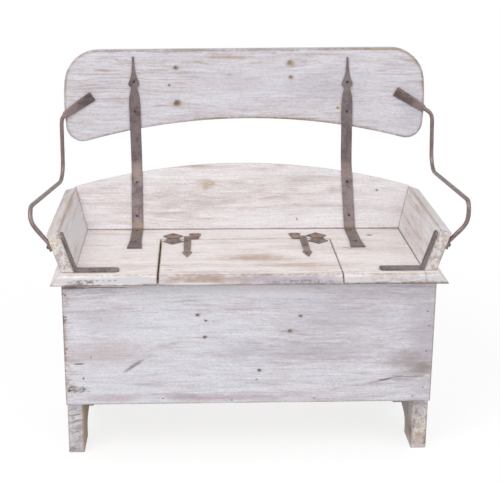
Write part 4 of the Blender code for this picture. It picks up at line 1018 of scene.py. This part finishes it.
    def feet(self) -> None:
        """The foot boards: brushed end grain in front, bare tan wood inside."""
        for side, sign in SIDES:
            left = side == "left"
            low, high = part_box("foot_board_" + side)
            inner = high.x if left else low.x
            on = Marker((0.0, low.y, 0.0), 20.0).upright
            inside = Marker((inner, low.y, 0.0)).at
            spots = (
                *Marker((inner, 0.0, 0.0)).at(
                    Mark.BARE_WOOD, (0, 0, 60, 6, 700, 300, 0.85 if left else 0.10)),
                *inside(Mark.BROWN_STREAK, (0, 0, 60, 4, 10, 100, 0.7), broken=True),
                # Painted shadow with the dark of the gap: a dark band along the top of the foot's front,
                # just under the chest's bottom edge.
                *on(Mark.DARK_SPOT_AND_PAINTED_SHADOW, (sign * 406.5, 132.5, 60, 4.5, 0.95)),
            )
            if left:
                spots += (
                    *on(Mark.SCRAPE, (-405, 98, 30, 3, 1.0, -10)),
                    *on(Mark.GREY_STAIN, (-407, 81, 32, 5, 1.0, -14)),
                    *on(Mark.MAUVE, (-400, 64, 24, 14, 1.0, -10)),
                    *on(Mark.SCRAPE, (-404, 54, 22, 4, 0.8, 4), broken=True),
                    *on(Mark.MAUVE, (-405, 26, 26, 30, 0.45)),
                    *on(Mark.DARK_SPOT_AND_PAINTED_SHADOW, (-416, 8, 14, 8, 0.8), broken=True),
                )
            else:
                spots += (
                    *on(Mark.MAUVE, (408, 112, 26, 34, 0.5)),
                    *on(Mark.CREAM, (411, 52, 16, 36, 0.5)),
                    *on(Mark.BARE_WOOD, (404, 22, 22, 26, 0.45)),
                    *on(Mark.BROWN_STREAK, (425, 60, 6, 80, 0.9)),
                    *inside(Mark.BROWN_STREAK, (0, 20, 40, 10, 70, 42, 0.85)),
                    *inside(Mark.DARK_SPOT_AND_PAINTED_SHADOW, (0, 14, 45, 6, 16, 34, 0.7), broken=True),
                    *on(Mark.DARK_SPOT_AND_PAINTED_SHADOW, (423, 20, 8, 20, 0.9), (393, 62, 4, 24, 0.85), (398, 98, 4, 20, 0.7),
                        broken=True),
                )
            finish = PaintedPine(wash=(0.710, 0.695, 0.725), thin=(0.640, 0.580, 0.575), wear=0.9,
                                 bare=(0.330, 0.270, 0.265) if left else (0.370, 0.275, 0.215),
                                 end=0.65, streaks=0.45, wear_reach=0.006)
            self.paint("foot_board_" + side, finish, Grain.FRONT_TO_BACK_ON_EDGE.value,
                       (2.0, 0.3, sign * 5.0), spots)

    def build(self) -> None:
        """Paint every board."""
        self.backrest()
        self.panel()
        self.arms()
        self.seat()
        self.chest_front()
        self.chest()
        self.feet()


@dataclass(frozen=True)
class ForgedRod:
    """One arm rod, finer than its solid: a flat palm, a round rod and a flat lap.

    Attributes:
        corners: the corners of its centre line, from the palm to the end of the lap, in metres.
        bends: the bend's radius at each inner corner.
        radius: the rod's radius.
        palm: the palm's length, width and thickness.
        lap: the lap's length, width and thickness.
        easing: how far the hammer spread each bend along the rod.
        step: how far apart the sections are.
        columns: how many points a section has.
    """

    corners: tuple[Triple, ...]
    bends: tuple[float, ...] = (0.018, 0.044, 0.018, 0.040, 0.012)
    radius: float = 0.0051
    palm: Triple = (0.090, 0.025, 0.0045)
    lap: Triple = (0.018, 0.014, 0.007)
    easing: float = 0.008
    step: float = 0.002
    columns: int = 24

    def path(self) -> np.ndarray:
        """The centre line: straight runs and arcs, sampled evenly and smoothed between its ends.

        An arc of radius r at a corner that turns by a starts r tan(a/2) before the corner. Each
        sample is then averaged with its neighbours, by a bell curve as wide as the easing.

        Returns:
            The points as (rows, 3).
        """
        corners = np.array(self.corners)
        points = [corners[:1]]
        for before, corner, after, bend in zip(corners, corners[1:], corners[2:], self.bends):
            come = (corner - before) / np.linalg.norm(corner - before)
            leave = (after - corner) / np.linalg.norm(after - corner)
            turn = math.acos(float(np.clip(come @ leave, -1.0, 1.0)))
            inward = leave - come * (come @ leave)
            inward /= np.linalg.norm(inward)
            centre = corner - come * bend * math.tan(turn / 2) + inward * bend
            angle = np.linspace(0.0, turn, 16)[:, None]
            points.append(centre - inward * bend * np.cos(angle) + come * bend * np.sin(angle))
        line = np.vstack(points + [corners[-1:]])
        along = np.concatenate([[0.0], np.cumsum(np.linalg.norm(np.diff(line, axis=0), axis=1))])
        even = np.arange(0.0, along[-1], self.step)
        even[-1] = along[-1]
        path = np.stack([np.interp(even, along, line[:, k]) for k in range(3)], axis=1)
        reach = int(3 * self.easing / self.step)
        bell = np.exp(-0.5 * (np.arange(-reach, reach + 1) * self.step / self.easing) ** 2)
        bell /= bell.sum()
        padded = np.vstack([np.repeat(path[:1], reach, axis=0), path, np.repeat(path[-1:], reach, axis=0)])
        smooth = np.stack([np.convolve(padded[:, k], bell, mode="valid") for k in range(3)], axis=1)
        inner = np.interp(even, [0.060, 0.110, even[-1] - 0.050, even[-1] - 0.022], [0.0, 1.0, 1.0, 0.0])
        return path + (smooth - path) * inner[:, None]

    def mesh(self, name: str) -> bpy.types.Mesh:
        """Sections carried along the path.

        A section is a superellipse of the local half width and half thickness, whose power goes
        from 1 in the round rod to 0.3 in the flat palm and lap. Two slow waves along the rod
        leave the hammer's marks in its radius. The palm's back stays on the board.

        Args:
            name: the mesh's name.

        Returns:
            The mesh.
        """
        path = self.path()
        steps = np.linalg.norm(np.diff(path, axis=0), axis=1)
        along = np.concatenate([[0.0], np.cumsum(steps)])
        tangent = np.gradient(path, axis=0)
        tangent /= np.linalg.norm(tangent, axis=1)[:, None]
        length, width, thick = self.palm
        lap_length, lap_width, lap_thick = self.lap
        from_end = along[-1] - along
        share = along / length
        rounded = np.interp(share, [0.0, 0.40, 0.75, 0.93, 1.0], [0.0, 0.0, 0.10, 0.50, 1.0])
        spread = np.interp(share, [0.0, 0.03, 0.40, 0.75, 0.93, 1.0], [0.88, 1.0, 0.86, 0.66, 0.50, 0.0])
        lapped = np.interp(from_end / lap_length, [0.0, 1.0, 1.6, 2.4], [1.0, 1.0, 0.45, 0.0])
        thinner = (self.radius - thick / 2) * (1.0 - rounded)
        wide = self.radius + (width / 2 - self.radius) * spread - (self.radius - lap_thick / 2) * lapped
        deep = self.radius - thinner + (lap_width / 2 - self.radius) * lapped
        free = np.clip(1.0 - np.maximum(1.0 - rounded, lapped), 0.0, 1.0)
        wave = 1.0 + free * (0.016 * np.sin(along * 150.0) + 0.010 * np.sin(along * 390.0 + 1.0))
        wide, deep = wide * wave, deep * wave
        face = np.array(FORWARD)
        settled = np.interp(along, [length, along[-1] - 2.4 * lap_length], [0.0, 1.0])
        side = self.carried(tangent, np.cross(tangent[0], face), face, settled)
        normal = np.cross(side, tangent)
        angle = np.linspace(0.0, 2 * math.pi, self.columns, endpoint=False)
        power = 0.30 + 0.70 * free[:, None]
        across = np.sign(np.cos(angle)) * np.abs(np.cos(angle)) ** power
        through = np.sign(np.sin(angle)) * np.abs(np.sin(angle)) ** power
        centre = path - normal * thinner[:, None]
        rings = (centre[:, None] + side[:, None] * (across * wide[:, None])[..., None]
                 + normal[:, None] * (through * deep[:, None])[..., None])
        start, end = (np.repeat(ring.mean(axis=0)[None, None], self.columns, axis=1)
                      for ring in (rings[0], rings[-1]))
        return surface(name, np.vstack([start, rings, end])[None])

    @staticmethod
    def carried(tangent: np.ndarray, side: np.ndarray, last: np.ndarray, settled: np.ndarray) -> np.ndarray:
        """Carry the first section's side along without twist, then turn it to face the end.

        Args:
            tangent: unit tangents as (rows, 3).
            side: the first section's side.
            last: the way the last section's face looks.
            settled: how much of the closing turn each row has.

        Returns:
            The side at each row.
        """
        sides = np.zeros_like(tangent)
        for row, way in enumerate(tangent):
            side = side - way * (side @ way)
            side = side / np.linalg.norm(side)
            sides[row] = side
        normals = np.cross(sides, tangent)
        way = tangent[-1]
        wanted = last - way * (last @ way)
        wanted /= np.linalg.norm(wanted)
        twist = math.atan2(float(np.cross(normals[-1], wanted) @ way), float(normals[-1] @ wanted))
        angles = (twist * settled)[:, None]
        return sides * np.cos(angles) + np.cross(tangent, sides) * np.sin(angles)


@dataclass
class Ironwork:
    """The straps, rods and hinges, with their small screws.

    Attributes:
        nodes: the frame's objects by name.
        screw: the heads of the straps' screws.
        pin: the heads of the smaller screws.
        nail: the heads of the nails.
        rake: how far the back panel leans back, in radians.
        splay: how far the arm boards lean out, in radians.
        strap_offset: how far the straps' feet are from the middle, in metres.
        strap_lean: how far a strap's tip is to the left of its foot.
        panel_foot: the depth and the height of the foot of the panel's front.
        hinge: the depth of the hinge line.
        bar_face: how far the face of a strap or an angle iron stands off its board.
        palm_face: the same of a rod's palm.
        leaf_face: the same of a hinge's leaf.
        dark: the finish of all the screws and nails.
    """

    nodes: dict[str, bpy.types.Object]
    screw: Heads = field(default_factory=lambda: Heads(0.0034, 0.0016, 0.0011))
    pin: Heads = field(default_factory=lambda: Heads(0.0023, 0.0010, 0.0008, 16))
    nail: Heads = field(default_factory=lambda: Heads(0.0016, 0.0005, 0.0, 12))
    rake: float = PANEL_RAKE
    splay: float = ARM_SPLAY
    strap_offset: float = STRAP_OFFSET
    strap_lean: float = 0.0075
    panel_foot: tuple[float, float] = (0.1375, 0.4504)
    hinge: float = 0.0505
    bar_face: float = 0.0043
    palm_face: float = 0.0047
    leaf_face: float = 0.0027
    dark: bpy.types.Material | None = None

    def dress(self, names: list[str], mat: bpy.types.Material) -> None:
        """Give one material to several irons.

        Args:
            names: the irons.
            mat: the material.
        """
        for name in names:
            for slot in self.nodes[name].material_slots:
                slot.material = mat

    def straps(self, side: str, sign: int) -> None:
        """Finish one side's back strap and angle iron.

        Args:
            side: the side's name.
            sign: -1 for the left and 1 for the right.
        """
        on = Marker((sign * self.strap_offset, 0.0, 0.0)).at
        rust = (*on(Mark.TAN_RUST, (0, 70, 453, 30, 80, 12, 0.50), (0, 130, 461, 30, 30, 22, 0.75)),
                *on(Mark.RUST, (8, 135, 456, 10, 20, 8, 0.25), broken=True),
                *on(Mark.TAN_RUST, (0, 200, 585, 30, 50, 40, 0.60 if sign < 0 else 0.4)))
        pale = ForgedIron(skin=(0.250, 0.200, 0.203), dark=(0.150, 0.113, 0.116))
        strap = ForgedIron() if side == "left" else pale
        self.dress(["back_strap_" + side], strap.dressed("iron_strap_" + side, rust))
        angle = ForgedIron(skin=(0.250, 0.205, 0.205))
        self.dress(["corner_strap_" + side], angle.dressed("iron_angle_" + side))

    def rod(self, side: str, sign: int) -> None:
        """Make one side's finer rod, which replaces the model's.

        Args:
            side: the side's name.
            sign: -1 for the left and 1 for the right.
        """
        on = Marker((0.0, 0.22, 0.0)).upright
        scale = (*on(Mark.DARK_SCALE, (sign * 392, 768, 60, 50, 0.70)),
                 *on(Mark.DARK_SCALE, (sign * 385, 775, 50, 40, 0.85), broken=True))
        iron = ForgedIron(skin=(0.255, 0.190, 0.185), dark=(0.175, 0.128, 0.125), rough=0.38, hammer=0.0003)
        shape = ForgedRod(ROD_CORNERS[side])
        piece = put("forged_rod_" + side, shape.mesh("forged_rod_" + side),
                    iron.dressed("iron_rod_" + side, scale), BENCH)
        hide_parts("arm_rod_" + side)
        self.dress(["arm_rod_" + side], piece.active_material)

    def hinges(self, side: str, sign: int) -> None:
        """Finish one side's hinges.

        Args:
            side: the side's name.
            sign: -1 for the left and 1 for the right.
        """
        on = Marker().at
        iron = ForgedIron(skin=(0.325, 0.258, 0.232), dark=(0.165, 0.122, 0.112), rough=0.6, hammer=0.0003)
        leaf = iron.dressed("iron_hinge_" + side, on(Mark.RUST, (sign * 178.5, 45, 452, 14, 20, 10, 0.40)))
        self.dress(["butterfly_rail_leaf_" + side, "butterfly_lid_leaf_" + side, "arrow_lid_strap_" + side],
                   leaf)
        rust = on(Mark.RUST, (sign * 124.5, 72, 452, 16, 14, 10, 0.85 if sign > 0 else 0.6))
        self.dress(["arrow_rail_plate_" + side], iron.dressed("iron_dovetail_" + side, rust))

    def drive(self, name: str, heads: Heads, places: list[Vector], normals: list[Vector],
              turns: list[float], body: str = BENCH) -> None:
        """Drive a set of screws or nails in.

        Args:
            name: the set's name.
            heads: what its heads are like.
            places: the points that the heads stand on.
            normals: the way each head faces.
            turns: the turn of each head's slot, in radians.
            body: the body that carries them.
        """
        put(name, heads.mesh(name, places, normals, turns), self.dark, body)

    def strap_screws(self) -> None:
        """Screws in the back straps: two in the backrest, two in the panel and two in the seat."""
        out = Vector((0.0, -math.cos(self.rake), math.sin(self.rake)))
        foot_y, foot_z = self.panel_foot
        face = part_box("backrest_board")[0].y - self.bar_face
        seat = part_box("seat_board")[1].z + self.bar_face
        for side, sign in SIDES:
            x = sign * self.strap_offset
            lean = self.strap_lean / (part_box("back_strap_" + side)[1].z - seat)
            places = [Vector((x - lean * (z - seat), face, z)) for z in (0.814, 0.738)]
            for z in (0.558, 0.481):
                y = foot_y + (z - foot_z) * math.tan(self.rake)
                places.append(Vector((x - lean * (z - seat), y, z)) + out * self.bar_face)
            places += [Vector((x, y, seat)) for y in (0.0165, 0.1165)]
            normals = [FORWARD, FORWARD, out, out, UP, UP]
            self.drive("strap_screws_" + side, self.screw, places, normals, [0.4, 1.3, 2.2, 0.9, 1.9, 0.2])

    def palm_screws(self) -> None:
        """Two screws through each rod's palm into the backrest."""
        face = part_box("backrest_board")[0].y - self.palm_face
        rows = {"left": ((-0.388, 0.7775), (-0.4145, 0.759)), "right": ((0.400, 0.7865), (0.428, 0.770))}
        for side, spots in rows.items():
            places = [Vector((x, face, z)) for x, z in spots]
            self.drive("palm_screws_" + side, self.pin, places, [FORWARD] * 2, [0.5, 1.4])

    def angle_screws(self) -> None:
        """Two screws in each leg of the angle irons."""
        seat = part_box("seat_board")[1].z
        low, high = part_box("corner_strap_left")
        for side, sign in SIDES:
            corner = Vector((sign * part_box("arm_board_right")[0].x, (low.y + high.y) / 2, seat))
            up = Vector((sign * math.sin(self.splay), 0.0, math.cos(self.splay)))
            out = Vector((-sign * math.cos(self.splay), 0.0, math.sin(self.splay)))
            places = [corner + up * reach + out * self.bar_face for reach in (0.033, 0.074)]
            places += [corner + Vector((-sign * reach, 0.0, self.bar_face)) for reach in (0.035, 0.078)]
            self.drive("angle_screws_" + side, self.pin, places, [out, out, UP, UP], [0.7, 2.0, 1.1, 0.2])

    def hinge_screws(self) -> None:
        """Screws in the hinges' leaves, those of the lid's leaves riding on the lid."""
        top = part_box("seat_board")[1].z + self.leaf_face
        rail = ((0.1645, 0.017), (0.1925, 0.017), (0.1785, 0.034), (0.118, 0.036), (0.131, 0.036),
                (0.1245, 0.016))
        lid = ((0.1645, -0.017), (0.1925, -0.017), (0.1785, -0.034), (0.1435, -0.020), (0.1435, -0.062),
               (0.1435, -0.122))
        for body, spots in ((BENCH, rail), (LID, lid)):
            for side, sign in SIDES:
                places = [Vector((sign * x, self.hinge + y, top)) for x, y in spots]
                self.drive(f"{body}_hinge_screws_{side}", self.pin, places, [UP] * len(places),
                           [0.3, 1.2, 2.1, 0.8, 1.7, 2.6], body)

    def nails(self) -> None:
        """Nail heads in the chest's front and in the ends of the foot boards."""
        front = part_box("chest_front")[0].y
        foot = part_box("foot_board_left")[0].y
        spots = [(-0.418, 0.272), (-0.417, 0.170), (-0.382, 0.200), (-0.383, 0.171), (-0.201, 0.146),
                 (-0.041, 0.140), (0.151, 0.143), (0.408, 0.356), (0.413, 0.320), (0.409, 0.258),
                 (0.406, 0.167), (0.382, 0.145)]
        places = [Vector((x, front, z)) for x, z in spots]
        places += [Vector((x, foot, z)) for x, z in ((-0.419, 0.110), (0.394, 0.074), (0.419, 0.047))]
        self.drive("nail_heads", self.nail, places, [FORWARD] * len(places), [0.0] * len(places))

    def build(self) -> None:
        """Finish the irons and set their screws."""
        for side, sign in SIDES:
            self.straps(side, sign)
            self.rod(side, sign)
            self.hinges(side, sign)
        black = ForgedIron(skin=(0.085, 0.068, 0.062), dark=(0.050, 0.040, 0.038), rough=0.5)
        self.dress([name + side for side, _ in SIDES for name in
                    ("butterfly_pin_", "arrow_pin_", "rod_coach_screw_")], black.dressed("iron_screws"))
        LOG.info("finished the irons")
        self.dark = ForgedIron(skin=(0.080, 0.062, 0.060), dark=(0.045, 0.035, 0.034),
                               bare=(0.25, 0.20, 0.17)).dressed("iron_small_screws")
        self.strap_screws()
        self.palm_screws()
        self.angle_screws()
        self.hinge_screws()
        self.nails()
        LOG.info("set the screws and nails")


def main() -> None:
    """Load the frame, dress the bench and set up the studio."""
    logging.basicConfig(level=logging.INFO, format="%(message)s")
    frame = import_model()
    bpy.context.scene.view_settings.view_transform = "Standard"
    Studio().build()
    Woodwork(frame["nodes"]).build()
    Ironwork(frame["nodes"]).build()


if __name__ == "__main__":
    main()
